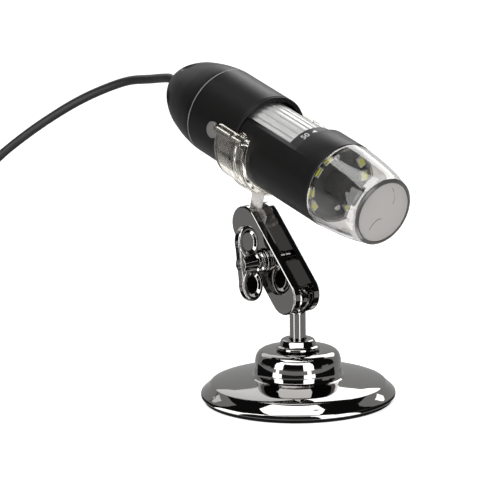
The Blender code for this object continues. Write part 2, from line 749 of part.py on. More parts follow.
def make_nose(frame):
    lip_start = boundary_station - NOSE_LIP_LENGTH
    share_points = (
        (0.126, 0.988), (0.335, 0.957), (0.544, 0.920), (0.711, 0.877), (0.837, 0.833), (0.962, 0.778),
    )
    rear = boundary_station + GAP
    outside = [(nose_rear_radius, rear)]
    outside += [(nose_rear_radius * r, rear + NOSE_LENGTH * d) for d, r in share_points]
    outside.append((nose_face_radius, nose_station))
    seat_front = nose_station - NOSE_WINDOW_DEPTH - NOSE_WINDOW_THICKNESS - GAP
    seat_rear = seat_front - NOSE_SEAT
    seat_radius = nose_opening - NOSE_SEAT
    inside = [p for p in inset(outside, NOSE_WALL) if rear < p[1] < seat_rear]
    lip_bore = front_fit - NOSE_WALL
    outline = outside + [
        (nose_opening, nose_station),
        (nose_opening, seat_front),
        (seat_radius, seat_front),
        (seat_radius, seat_rear),
    ]
    outline += inside[::-1]
    outline += [(lip_bore, rear), (lip_bore, lip_start), (front_fit, lip_start), (front_fit, rear)]
    add_object("nose_cone", revolve("nose_cone", outline, BARREL_STEPS), "smoky_plastic", frame)
    radius = nose_opening - GAP
    front = nose_station - NOSE_WINDOW_DEPTH
    disc = [(0.0, seat_front + GAP), (radius, seat_front + GAP), (radius, front), (0.0, front)]
    add_object("nose_window", revolve("nose_window", disc, BARREL_STEPS), "smoky_plastic", frame)


# Focus wheel, chassis and optics

def make_wheel(frame):
    points = []
    rib = TURN / WHEEL_RIBS
    root = wheel_radius - RIB_DEPTH
    rib_edge_shares = ((-0.50, 0.0), (-0.34, 0.0), (-0.24, 1.0), (0.24, 1.0), (0.34, 0.0))
    for i in range(WHEEL_RIBS):
        for turn_share, height_share in rib_edge_shares:
            angle = (i + turn_share) * rib
            radius = root + RIB_DEPTH * height_share
            points.append((radius * math.cos(angle), radius * math.sin(angle)))
    mesh = prism("focus_wheel", points, wheel_start, wheel_end)
    wheel = add_object("focus_wheel", mesh, "silver_wheel", frame)
    low = wheel_start - CUT_OVERRUN
    high = wheel_end + CUT_OVERRUN
    bore = [(0.0, low), (wheel_bore, low), (wheel_bore, high), (0.0, high)]
    apply_tool(wheel, "wheel_bore", revolve("wheel_bore", bore, BARREL_STEPS), "DIFFERENCE")
    ring = [(wheel_bore, ring_start), (front_fit, ring_start), (front_fit, ring_end),
            (wheel_bore, ring_end)]
    add_object("scale_ring", revolve("scale_ring", ring, BARREL_STEPS), "inner_plastic", frame)


def make_chassis(frame):
    flange_front = CHASSIS_REAR + CHASSIS_FLANGE
    lip_rear = chassis_front - CHASSIS_FRONT_FLANGE
    outline = [
        (chassis_bore, CHASSIS_REAR),
        (inner_fit, CHASSIS_REAR),
        (inner_fit, flange_front),
        (chassis_radius, flange_front),
        (chassis_radius, chassis_front),
        (chassis_mouth, chassis_front),
        (chassis_mouth, lip_rear),
        (chassis_bore, lip_rear),
    ]
    mesh = revolve("chassis", outline, BARREL_STEPS)
    chassis = add_object("chassis", mesh, "inner_plastic", frame)
    for i, place in enumerate(LED_SCREW_PLACES_DEG):
        cut_screw_hole(chassis, "chassis_screw_hole_%d" % (i + 1), place,
                       lip_rear - CUT_OVERRUN, chassis_front + CUT_OVERRUN)


def cut_screw_hole(target, label, place_deg, bottom, top):
    radius = LED_SCREW_RADIUS + GAP
    hole = [(0.0, bottom), (radius, bottom), (radius, top), (0.0, top)]
    spot = around(place_deg) @ Matrix.Translation((led_screw_circle, 0.0, 0.0))
    apply_tool(target, label, revolve(label, hole, TINY_STEPS), "DIFFERENCE", spot)


def lens_outline(rear, bulge_front):
    # A thin lens with one or two domed faces, as (radius, height) points.
    half = LENS_THICKNESS / 2.0
    middle = rear + half
    points = [(0.0, middle - half), (LENS_RADIUS, middle - half)]
    for i in range(4):
        share = 1.0 - i / 4.0
        rise = LENS_BULGE * (1.0 - share * share) * bulge_front
        points.append((LENS_RADIUS * share, middle + half + rise))
    points.append((0.0, middle + half + LENS_BULGE * bulge_front))
    return points


def make_optics(frame):
    outer = chassis_bore - GAP
    inner = outer - CARRIAGE_WALL
    rear = CARRIAGE_START
    front = CARRIAGE_START + CARRIAGE_LENGTH
    bore = LENS_RADIUS + GAP
    throat = LENS_RADIUS - LENS_SEAT
    pocket = LENS_THICKNESS + LENS_BULGE + LENS_RECESS
    outline = [
        (inner, rear),
        (outer, rear),
        (outer, front),
        (LENS_TUBE_RADIUS, front),
        (LENS_TUBE_RADIUS, LENS_TUBE_END),
        (LENS_TIP_RADIUS, LENS_TUBE_END),
        (LENS_TIP_RADIUS, LENS_TIP_END),
        (bore, LENS_TIP_END),
        (bore, LENS_TIP_END - pocket),
        (throat, LENS_TIP_END - pocket),
        (throat, front - CARRIAGE_WALL + pocket),
        (bore, front - CARRIAGE_WALL + pocket),
        (bore, front - CARRIAGE_WALL),
        (inner, front - CARRIAGE_WALL),
    ]
    mesh = revolve("lens_carriage", outline, INNER_STEPS)
    add_object("lens_carriage", mesh, "inner_plastic", frame)
    front_lens = lens_outline(LENS_TIP_END - pocket + GAP, 1.0)
    mesh = revolve("front_lens", front_lens, SMALL_STEPS)
    add_object("front_lens", mesh, "lens_glass", frame)
    rear_lens = lens_outline(front - CARRIAGE_WALL + pocket - GAP - LENS_THICKNESS, 0.0)
    mesh = revolve("rear_lens", rear_lens, SMALL_STEPS)
    add_object("rear_lens", mesh, "lens_glass", frame)


# Electronics

def make_lamp_ring(frame):
    inner = LENS_TUBE_RADIUS + GAP
    top = board_start + LED_BOARD_THICKNESS
    board = [(inner, board_start), (front_fit, board_start), (front_fit, top), (inner, top)]
    mesh = revolve("led_board", board, BARREL_STEPS)
    led_board = add_object("led_board", mesh, "board_black", frame)
    head_foot = top + GAP
    shank = [
        (0.0, head_foot - LED_SCREW_LENGTH),
        (LED_SCREW_RADIUS, head_foot - LED_SCREW_LENGTH),
        (LED_SCREW_RADIUS, head_foot),
        (LED_SCREW_HEAD_RADIUS, head_foot),
        (LED_SCREW_HEAD_RADIUS, head_foot + LED_SCREW_HEAD_HEIGHT),
        (0.0, head_foot + LED_SCREW_HEAD_HEIGHT),
    ]
    screw = revolve("led_screw", shank, TINY_STEPS)
    for i, place in enumerate(LED_SCREW_PLACES_DEG):
        cut_screw_hole(led_board, "board_screw_hole_%d" % (i + 1), place,
                       board_start - CUT_OVERRUN, top + CUT_OVERRUN)
        spot = around(place) @ Matrix.Translation((led_screw_circle, 0.0, 0.0))
        add_object("led_screw_%d" % (i + 1), screw, "steel", frame, spot)
    lamp = prism("led", rectangle(LED_WIDTH, LED_LENGTH), led_start, led_start + LED_HEIGHT)
    places = LED_PLACES_DEG + tuple(place + 180.0 for place in LED_PLACES_DEG)
    for i, place in enumerate(places):
        spot = around(place) @ Matrix.Translation((led_circle, 0.0, 0.0))
        add_object("led_%d" % (i + 1), lamp, "lamp_yellow", frame, spot)


def make_boards(frame):
    top = CHASSIS_REAR - GAP
    bottom = top - SENSOR_BOARD_THICKNESS
    disc = [(0.0, bottom), (sensor_board_radius, bottom), (sensor_board_radius, top), (0.0, top)]
    mesh = revolve("sensor_board", disc, INNER_STEPS)
    add_object("sensor_board", mesh, "board_green", frame)
    square = rectangle(SENSOR_SIZE, SENSOR_SIZE)
    chip = prism("image_sensor", square, top + GAP, top + GAP + SENSOR_HEIGHT)
    add_object("image_sensor", chip, "board_black", frame)

    board_frame = add_frame("button_axis", frame, (0.0, 0.0, 0.0),
                            (0.0, 0.0, 1.0), button_direction())
    corner = MAIN_BOARD_OFFSET
    half_width = math.sqrt(inner_fit ** 2 - corner ** 2)
    rear = seam_station + SPIGOT_LENGTH + 2.0 * GAP
    front = bottom - GAP
    length = front - rear
    sheet = prism("main_board", rectangle(length, 2.0 * half_width),
                  MAIN_BOARD_OFFSET - MAIN_BOARD_THICKNESS, MAIN_BOARD_OFFSET)
    spot = Matrix.Translation(((front + rear) / 2.0, 0.0, 0.0))
    add_object("main_board", sheet, "board_green", board_frame, spot)
    under = MAIN_BOARD_OFFSET - MAIN_BOARD_THICKNESS - GAP
    chip = prism("processor_chip", rectangle(CHIP_SIZE, CHIP_SIZE), under - CHIP_HEIGHT, under)
    add_object("processor_chip", chip, "board_black", board_frame, spot)
    make_button(board_frame)


def button_direction():
    place = math.radians(BUTTON_PLACE_DEG)
    return (math.cos(place), math.sin(place), 0.0)


def button_matrix():
    x = Vector((0.0, 0.0, 1.0))
    z = Vector(button_direction())
    turn = Matrix((x, z.cross(x), z)).transposed().to_4x4()
    return Matrix.Translation((0.0, 0.0, BUTTON_STATION)) @ turn


def make_button(board_frame):
    # The button's flange stays under the shell's bore and its foot meets the switch.
    spot = Matrix.Translation((BUTTON_STATION, 0.0, 0.0))
    flange_reach = BUTTON_RADIUS + BUTTON_FLANGE
    flange_top = math.sqrt(housing_bore ** 2 - flange_reach ** 2) - GAP
    flange_foot = flange_top - BUTTON_FLANGE_THICKNESS
    head = BARREL_RADIUS + BUTTON_PROUD
    edge = BUTTON_PROUD / 2.0
    button = [
        (0.0, flange_foot),
        (flange_reach, flange_foot),
        (flange_reach, flange_top),
        (BUTTON_RADIUS, flange_top),
        (BUTTON_RADIUS, head - edge),
        (BUTTON_RADIUS - edge, head),
        (0.0, head),
    ]
    mesh = revolve("snap_button", button, SMALL_STEPS)
    add_object("snap_button", mesh, "button_plastic", board_frame, spot)
    switch_foot = MAIN_BOARD_OFFSET + GAP
    plunger_top = flange_foot - BUTTON_TRAVEL - GAP
    switch_top = plunger_top - SWITCH_PLUNGER_HEIGHT
    body = prism("snap_switch", rectangle(SWITCH_SIZE, SWITCH_SIZE), switch_foot, switch_top)
    switch = add_object("snap_switch", body, "board_black", board_frame, spot)
    plunger = [
        (0.0, switch_top - SWITCH_PLUNGER_HEIGHT),
        (SWITCH_PLUNGER_RADIUS, switch_top - SWITCH_PLUNGER_HEIGHT),
        (SWITCH_PLUNGER_RADIUS, plunger_top),
        (0.0, plunger_top),
    ]
    mesh = revolve("switch_plunger", plunger, TINY_STEPS)
    apply_tool(switch, "switch_plunger", mesh, "UNION")


# Cord

def make_grommet(frame):
    inside = tail_station + HOUSING_WALL + GAP
    collar = GROMMET_RADIUS + GROMMET_FLANGE
    outline = [
        (0.0, tail_station - GROMMET_PROUD),
        (GROMMET_RADIUS, tail_station - GROMMET_PROUD),
        (GROMMET_RADIUS, inside),
        (collar, inside),
        (collar, inside + GROMMET_FLANGE_THICKNESS),
        (0.0, inside + GROMMET_FLANGE_THICKNESS),
    ]
    mesh = revolve("cord_grommet", outline, SMALL_STEPS)
    add_object("cord_grommet", mesh, "cord_jacket", frame)


def smooth_path(knots, spacing):
    # Even points along a Catmull-Rom curve through the knots.
    knots = [Vector(knot) for knot in knots]
    padded = [2.0 * knots[0] - knots[1]] + knots + [2.0 * knots[-1] - knots[-2]]
    dense = []
    fine = 16
    for a, b, c, d in zip(padded, padded[1:], padded[2:], padded[3:]):
        for i in range(fine):
            t = i / fine
            dense.append(0.5 * (2.0 * b + (c - a) * t + (2.0 * a - 5.0 * b + 4.0 * c - d) * t * t
                                + (3.0 * b - a - 3.0 * c + d) * t * t * t))
    dense.append(knots[-1])
    lengths = [0.0]
    for near, far in zip(dense, dense[1:]):
        lengths.append(lengths[-1] + (far - near).length)
    count = max(2, round(lengths[-1] / spacing))
    points = []
    k = 0
    for i in range(count + 1):
        target = lengths[-1] * i / count
        while k < len(dense) - 2 and lengths[k + 1] < target:
            k += 1
        span = lengths[k + 1] - lengths[k]
        points.append(dense[k].lerp(dense[k + 1], (target - lengths[k]) / span))
    return points, lengths[-1]


def add_cord(name, points, resolution):
    curve = bpy.data.curves.new(name, "CURVE")
    curve.dimensions = "3D"
    curve.bevel_depth = CORD_RADIUS
    curve.bevel_resolution = resolution
    curve.use_fill_caps = True
    spline = curve.splines.new("POLY")
    spline.points.add(len(points) - 1)
    for spot, point in zip(spline.points, points):
        spot.co = (*point, 1.0)
    return add_object(name, curve, "cord_jacket")


def coil_points():
    # The coil spirals in along the floor, climbs a layer in the half turn where it
    # reverses, and spirals out again on top; its tail then comes down to the plug.
    half_turns = COIL_TURNS / 2.0
    floor = CORD_RADIUS + COIL_LIFT
    count = round(COIL_TURNS * COIL_POINTS_PER_TURN)
    points = []
    for i in range(count + 1):
        turns = COIL_TURNS * i / count
        past = turns - half_turns
        radius = COIL_INNER_RADIUS + COIL_PITCH * abs(past)
        angle = math.radians(COIL_START_DEG) + TURN * turns
        rise = min(1.0, max(0.0, 2.0 * past + 0.5))
        height = floor + COIL_LAYER_HEIGHT * rise * rise * (3.0 - 2.0 * rise)
        x = COIL_CENTRE[0] + radius * math.cos(angle)
        y = COIL_CENTRE[1] + radius * math.sin(angle)
        points.append(Vector((x, y, height)))
    return points


def coil_tail(last):
    # Straight run off the top layer, down to the plug's height.
    ahead = Vector((0.0, -1.0, 0.0))
    plug_height = PLUG_HEIGHT / 2.0
    steps = round(COIL_TAIL_LENGTH / CORD_POINT_SPACING) + 4
    points = []
    for i in range(1, steps + 1):
        share = i / steps
        fall = min(1.0, share * steps / (steps - 1))
        ease = fall * fall * (3.0 - 2.0 * fall)
        point = last + ahead * COIL_TAIL_LENGTH * share
        point.z = last.z + (plug_height - last.z) * ease
        points.append(point)
    return points


def least_self_gap(points):
    # Smallest space between two stretches of the tube, measured between its points.
    skip = COIL_POINTS_PER_TURN // 2
    least = min(
        (a - b).length
        for i, a in enumerate(points)
        for b in points[i + skip:]
    )
    return least - 2.0 * CORD_RADIUS


def make_cord(frame):
    bpy.context.view_layer.update()
    exit_station = tail_station - GROMMET_PROUD - GAP
    start = frame.matrix_world @ Vector((0.0, 0.0, exit_station))
    straight = frame.matrix_world @ Vector((0.0, 0.0, exit_station - 2.0 * CORD_RADIUS))
    coil = coil_points()
    floor = coil[0].z
    ahead = Vector((GAP, 0.0, 0.0))
    last = coil[0] + ahead
    before = last + Vector((2.0 * CORD_RADIUS, 0.0, 0.0))
    settled = last + Vector((4.0 * CORD_RADIUS, 0.0, 0.0))
    route = [straight] + [Vector(point) for point in CORD_ROUTE] + [settled, before]
    points, length = smooth_path(route, CORD_POINT_SPACING)
    lead = [start] + points + [last]
    add_cord("usb_lead", lead, 2)
    coil += coil_tail(coil[-1])
    add_cord("usb_coil", coil, 1)
    coil_length = sum((b - a).length for a, b in zip(coil, coil[1:]))
    print("least gap in the coil: %.2f mm" % (1000.0 * least_self_gap(coil)))
    print("cord length: %.3f m" % (length + coil_length))
    return coil[-1]


def make_tie():
    # Strap round the coil's bundle. Its X runs out from the coil's middle, its Z along the cord.
    place = math.radians(TIE_PLACE_DEG)
    turns = (TIE_PLACE_DEG - COIL_START_DEG) % 360.0 / 360.0
    outer_turn = COIL_INNER_RADIUS + COIL_PITCH * (COIL_TURNS / 2.0 - turns)
    slack = CORD_RADIUS + TIE_SLACK
    width = outer_turn - COIL_INNER_RADIUS + 2.0 * slack
    height = COIL_LAYER_HEIGHT + 2.0 * (CORD_RADIUS + GAP)
    corner = CORD_RADIUS + GAP
    reach = (COIL_INNER_RADIUS + outer_turn) / 2.0
    origin = (COIL_CENTRE[0] + reach * math.cos(place), COIL_CENTRE[1] + reach * math.sin(place),
              COIL_LIFT + CORD_RADIUS + COIL_LAYER_HEIGHT / 2.0)
    frame = add_frame("tie_axis", None, origin, (math.cos(place), math.sin(place), 0.0),
                      (-math.sin(place), math.cos(place), 0.0))
    half = TIE_WIDTH / 2.0
    both = 2.0 * TIE_THICKNESS
    strap = prism("cord_tie", rounded_rectangle(width + both, height + both, corner + TIE_THICKNESS),
                  -half, half)
    tie = add_object("cord_tie", strap, "tie_fabric", frame)
    bore = prism("tie_bore", rounded_rectangle(width, height, corner), -half - CUT_OVERRUN, half + CUT_OVERRUN)
    apply_tool(tie, "tie_bore", bore, "DIFFERENCE")


def make_plug(end):
    # Plug laid flat on the floor; its own Z runs from the cord to the tip.
    lift = PLUG_HEIGHT / 2.0
    frame = add_frame("plug_axis", None, (end.x, end.y - GAP, lift), (1.0, 0.0, 0.0), (0.0, -1.0, 0.0))
    relief = [
        (0.0, 0.0),
        (RELIEF_TIP_RADIUS, 0.0),
        (RELIEF_RADIUS, RELIEF_LENGTH),
        (0.0, RELIEF_LENGTH),
    ]
    mesh = revolve("plug_relief", relief, SMALL_STEPS)
    add_object("plug_relief", mesh, "plug_plastic", frame)
    body_start = RELIEF_LENGTH + GAP
    body_end = body_start + PLUG_LENGTH
    wide = rounded_rectangle(PLUG_WIDTH, PLUG_HEIGHT, PLUG_CORNER)
    slim = rounded_rectangle(PLUG_WIDTH - 2.0 * PLUG_CORNER, PLUG_HEIGHT - 2.0 * PLUG_CORNER, PLUG_CORNER)
    rings = [
        [(x, y, body_start) for x, y in slim],
        [(x, y, body_start + PLUG_CORNER) for x, y in wide],
        [(x, y, body_end) for x, y in wide],
    ]
    add_object("plug_body", loft("plug_body", rings), "plug_plastic", frame)
    shell_start = body_end + GAP
    shell_end = shell_start + PLUG_SHELL_LENGTH
    corner = PLUG_SHELL_WALL
    skin = prism("plug_shell", rectangle(PLUG_SHELL_WIDTH, PLUG_SHELL_HEIGHT), shell_start, shell_end)
    shell = add_object("plug_shell", skin, "steel", frame)
    mouth = prism("plug_mouth", rectangle(PLUG_SHELL_WIDTH - 2.0 * corner, PLUG_SHELL_HEIGHT - 2.0 * corner),
                  shell_start + corner, shell_end + CUT_OVERRUN)
    apply_tool(shell, "plug_mouth", mouth, "DIFFERENCE")
    width = PLUG_SHELL_WIDTH - 2.0 * corner - 2.0 * GAP
    tongue = prism("plug_tongue", rectangle(width, PLUG_TONGUE_HEIGHT),
                   shell_start + corner + GAP, shell_end - GAP)
    rise = PLUG_SHELL_HEIGHT / 2.0 - corner - GAP - PLUG_TONGUE_HEIGHT / 2.0
    add_object("plug_tongue", tongue, "tongue_white", frame, Matrix.Translation((0.0, rise, 0.0)))


clear_scene()
materials = make_materials()

# Frames, each on the axes that its pieces turn about
heading = math.radians(HEADING_DEG)
tilt = math.radians(CLAMP_TILT_DEG)
drop = math.radians(BARREL_DROP_DEG)
post_frame = add_frame("post_axis", None, (0.0, 0.0, 0.0),
                       (math.cos(heading), math.sin(heading), 0.0), (0.0, 0.0, 1.0))
clamp_frame = add_frame("lower_ball_axis", post_frame, (0.0, 0.0, LOWER_BALL_HEIGHT),
                        (math.cos(tilt), 0.0, -math.sin(tilt)), (math.sin(tilt), 0.0, math.cos(tilt)))
stem_turn = drop - tilt
stem_frame = add_frame("upper_ball_axis", clamp_frame, (0.0, 0.0, BALL_SPACING),
                       (math.cos(stem_turn), 0.0, -math.sin(stem_turn)),
                       (math.sin(stem_turn), 0.0, math.cos(stem_turn)))
barrel_frame = add_frame("barrel_axis", stem_frame, (0.0, 0.0, stem_to_barrel),
                         (0.0, 0.0, 1.0), (1.0, 0.0, 0.0))

make_stand()
make_clamp(clamp_frame)
make_stem(stem_frame)
make_clip(barrel_frame)
make_rear_cap(barrel_frame)
make_rear_shell(barrel_frame)
make_front_shell(barrel_frame)
make_nose(barrel_frame)
make_wheel(barrel_frame)
make_chassis(barrel_frame)
make_optics(barrel_frame)
make_lamp_ring(barrel_frame)
make_boards(barrel_frame)
make_grommet(barrel_frame)
make_plug(make_cord(barrel_frame))
make_tie()
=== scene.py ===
# Digital microscope in a clear clip, on a chromed two-ball stand: its looks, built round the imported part.
import json
import math

import bpy
from mathutils import Matrix, Vector


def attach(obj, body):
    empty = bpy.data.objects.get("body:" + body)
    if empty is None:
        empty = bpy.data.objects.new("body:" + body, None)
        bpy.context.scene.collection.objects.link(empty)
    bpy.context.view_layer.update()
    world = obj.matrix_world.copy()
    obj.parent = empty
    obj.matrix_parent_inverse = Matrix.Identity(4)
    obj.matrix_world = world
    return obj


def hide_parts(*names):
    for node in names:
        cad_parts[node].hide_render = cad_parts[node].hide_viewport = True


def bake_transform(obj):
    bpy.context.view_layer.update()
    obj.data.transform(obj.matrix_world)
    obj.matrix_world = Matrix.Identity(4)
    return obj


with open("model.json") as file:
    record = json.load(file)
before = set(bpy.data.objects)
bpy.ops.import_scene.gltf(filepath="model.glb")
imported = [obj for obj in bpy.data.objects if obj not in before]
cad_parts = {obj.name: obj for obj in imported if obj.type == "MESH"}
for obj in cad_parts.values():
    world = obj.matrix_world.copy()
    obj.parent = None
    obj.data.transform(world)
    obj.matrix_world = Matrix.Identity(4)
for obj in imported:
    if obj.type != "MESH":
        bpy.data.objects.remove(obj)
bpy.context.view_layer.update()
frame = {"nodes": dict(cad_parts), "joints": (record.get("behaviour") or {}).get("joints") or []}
joints = {joint["name"]: joint for joint in frame["joints"]}
turn = 2.0 * math.pi

# ---- Camera ----

cameraSetup = {
    "elevationDeg": 15.1,
    "distance": 1.4,
    "rollDeg": 0.45,
    "pixelsPerMetre": 2700.0,
    "basePixel": (298.3, 398.6),  # where the foot's centre falls in the photograph
    "imageSize": 500.0,
    "sensorWidth": 36.0,
}


def makeCamera(setup):
    rise = math.radians(setup["elevationDeg"])
    back = Vector((0.0, -math.cos(rise), math.sin(rise)))
    level = Matrix(((1.0, 0.0, 0.0), (0.0, math.sin(rise), math.cos(rise)), back))
    focal = setup["pixelsPerMetre"] * setup["distance"]
    middle = setup["imageSize"] / 2.0
    aimX = (setup["basePixel"][0] - middle) / focal
    aimY = (middle - setup["basePixel"][1]) / focal
    ahead = Vector((0.0, 0.0, -1.0))
    aim = ahead.rotation_difference(Vector((aimX, aimY, -1.0))).to_matrix()
    roll = Matrix.Rotation(math.radians(setup["rollDeg"]), 3, "Z")
    toCamera = aim @ roll @ level
    bpy.ops.object.camera_add()
    camera = bpy.context.object
    camera.name = "photoCamera"
    camera.data.sensor_width = setup["sensorWidth"]
    camera.data.lens = focal * setup["sensorWidth"] / setup["imageSize"]
    camera.data.clip_start = 0.01
    camera.data.clip_end = 20.0
    camera.matrix_world = Matrix.Translation(back * setup["distance"]) @ toCamera.transposed().to_4x4()
    bpy.context.scene.camera = camera


makeCamera(cameraSetup)
print("camera placed")

# ---- Working places, in millimetres, each on the axis that its pieces turn about ----


def place(origin, xAxis, zAxis):
    z = Vector(zAxis).normalized()
    y = z.cross(Vector(xAxis)).normalized()
    facing = Matrix((y.cross(z), y, z)).transposed().to_4x4()
    return Matrix.Translation(Vector(origin)) @ facing @ Matrix.Scale(0.001, 4)


def around(degrees):
    return Matrix.Rotation(math.radians(degrees), 4, "Z")


def at(x, y, z):
    return Matrix.Translation((x, y, z))


noseWay = Vector(joints["barrel_roll"]["axis"])
stemWay = Vector(joints["holder_swivel"]["axis"])
acrossWay = Vector(joints["lower_tilt"]["axis"])
lowerBall = Vector(joints["lower_tilt"]["pos_m"])
upperBall = Vector(joints["upper_tilt"]["pos_m"])
clampWay = (upperBall - lowerBall).normalized()
clampMiddle = Vector(joints["wing_turn"]["pos_m"])
floorPlace = place((0.0, 0.0, 0.0), (1.0, 0.0, 0.0), (0.0, 0.0, 1.0))
barrelPlace = place(joints["barrel_roll"]["pos_m"], stemWay, noseWay)
clampPlace = place(lowerBall, acrossWay.cross(clampWay), clampWay)
stemPlace = place(upperBall, noseWay, stemWay)
wingTurnDeg = 35.2  # from the clamp's length to the wings' span
wingWay = Matrix.Rotation(math.radians(wingTurnDeg), 3, acrossWay) @ clampWay
screwPlace = place(clampMiddle, wingWay, -acrossWay)

# ---- Modelling helpers ----


def deselect():
    if bpy.context.object and bpy.context.object.mode != "OBJECT":
        bpy.ops.object.mode_set(mode="OBJECT")
    bpy.ops.object.select_all(action="DESELECT")


def pick(piece):
    deselect()
    piece.select_set(True)
    bpy.context.view_layer.objects.active = piece
    return piece


def startLine(name, spot):
    # A plane merged down to one point, which the outline is then drawn out from.
    deselect()
    bpy.ops.mesh.primitive_plane_add(size=1.0)
    piece = bpy.context.object
    piece.name = piece.data.name = name
    bpy.ops.object.mode_set(mode="EDIT")
    bpy.ops.mesh.select_all(action="SELECT")
    bpy.ops.mesh.merge(type="CENTER")
    bpy.ops.transform.translate(value=spot)
    return piece


def drawLine(spots):
    for near, far in zip(spots, spots[1:]):
        step = Vector(far) - Vector(near)
        bpy.ops.mesh.extrude_region_move(TRANSFORM_OT_translate={"value": step})


mergeWithin = 0.0005   # in millimetres
holdBeside = 0.15      # from a rounded corner to the spot that holds the long face beside it flat
longFace = 1.0


def eased(outline, steps=4):
    # Rounds each corner that gives a third number, its radius.
    spots = []
    for i, corner in enumerate(outline):
        if len(corner) == 2:
            spots.append(tuple(corner))
            continue
        here = Vector(corner[:2])
        back = Vector(outline[i - 1][:2]) - here
        ahead = Vector(outline[(i + 1) % len(outline)][:2]) - here
        half = back.angle(ahead) / 2.0
        cut = min(corner[2] / math.tan(half), 0.49 * back.length, 0.49 * ahead.length)
        radius = cut * math.tan(half)
        u, v = back.normalized(), ahead.normalized()
        centre = here + (u + v).normalized() * radius / math.sin(half)
        first, last = here + u * cut - centre, here + v * cut - centre
        sweep = first.angle(last)
        if back.length > 2.0 * cut + longFace:
            spots.append(tuple(here + u * (cut + holdBeside)))
        for k in range(steps + 1):
            share = k / steps
            swung = first * math.sin((1.0 - share) * sweep) + last * math.sin(share * sweep)
            spots.append(tuple(centre + swung / math.sin(sweep)))
        if ahead.length > 2.0 * cut + longFace:
            spots.append(tuple(here + v * (cut + holdBeside)))
    return spots


def tidyMesh(merge=mergeWithin):
    bpy.ops.mesh.select_all(action="SELECT")
    bpy.ops.mesh.remove_doubles(threshold=merge)
    bpy.ops.mesh.normals_make_consistent(inside=False)
    bpy.ops.object.mode_set(mode="OBJECT")


def smooth(piece, degrees=35.0):
    pick(piece)
    bpy.ops.object.shade_smooth_by_angle(angle=math.radians(degrees))
    return piece


def turned(name, outline, steps=96, sweepDeg=360.0, startDeg=0.0):
    # Spins an outline of (radius, height) spots about Z.
    flat = eased(outline)
    if flat[0][0] + flat[-1][0] > 0.0:
        flat = flat + flat[:1]
    start = math.radians(startDeg)
    spots = [(r * math.cos(start), r * math.sin(start), z) for r, z in flat]
    piece = startLine(name, spots[0])
    drawLine(spots)
    bpy.ops.mesh.select_all(action="SELECT")
    bpy.ops.mesh.spin(steps=steps, angle=-math.radians(sweepDeg), center=(0.0, 0.0, 0.0),
                      axis=(0.0, 0.0, 1.0))
    if sweepDeg < 360.0:
        bpy.ops.mesh.select_all(action="SELECT")
        bpy.ops.mesh.remove_doubles(threshold=mergeWithin)
        bpy.ops.mesh.select_all(action="DESELECT")
        bpy.ops.mesh.select_non_manifold(extend=False, use_wire=False, use_boundary=True,
                                         use_multi_face=False, use_non_contiguous=False, use_verts=False)
        bpy.ops.mesh.edge_face_add()
    tidyMesh()
    return smooth(piece)


def slab(name, outline, low, high):
    # Raises a closed outline of (x, y) spots from one height to another.
    flat = eased(outline)
    spots = [(x, y, low) for x, y in flat]
    piece = startLine(name, spots[0])
    drawLine(spots)
    bpy.ops.mesh.select_all(action="SELECT")
    bpy.ops.mesh.edge_face_add()
    bpy.ops.mesh.extrude_region_move(TRANSFORM_OT_translate={"value": (0.0, 0.0, high - low)})
    tidyMesh()
    return smooth(piece)


def blockOutline(wide, tall, corner=0.0):
    x, y = wide / 2.0, tall / 2.0
    ease = (corner,) if corner else ()
    return [(-x, -y, *ease), (x, -y, *ease), (x, y, *ease), (-x, y, *ease)]


def rodTool(radius, low, high, steps=48):
    # A plain cylinder to cut with.
    return turned("rodTool", [(0.0, low), (radius, low), (radius, high), (0.0, high)], steps)


def apply(piece):
    pick(piece)
    for modifier in list(piece.modifiers):
        bpy.ops.object.modifier_apply(modifier=modifier.name)
    return piece


def bevelled(piece, width, segments=2, limitDeg=40.0):
    edge = piece.modifiers.new("edge", "BEVEL")
    edge.width = width
    edge.segments = segments
    edge.limit_method = "ANGLE"
    edge.angle_limit = math.radians(limitDeg)
    edge.miter_outer = "MITER_ARC"
    apply(piece)
    return smooth(piece)


def combine(piece, tool, operation="DIFFERENCE"):
    boolean = piece.modifiers.new("tool", "BOOLEAN")
    boolean.operation = operation
    boolean.solver = "EXACT"
    boolean.object = tool
    apply(piece)
    bpy.data.objects.remove(tool)
    return piece


def moved(piece, matrix):
    piece.data.transform(matrix)
    return piece


def copied(piece, name, matrix):
    pick(piece)
    bpy.ops.object.duplicate(linked=False)
    twin = bpy.context.object
    twin.name = twin.data.name = name
    return moved(twin, matrix)


def settle(piece, where, body, material, nodes=()):
    # Puts a finished piece in its place with its material, hangs it on the body it rides on, and hides the
    # imported parts it stands in for.
    moved(piece, where)
    piece.data.materials.clear()
    piece.data.materials.append(material)
    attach(piece, body)
    if nodes:
        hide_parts(*nodes)
    return piece


# ---- Finishes ----

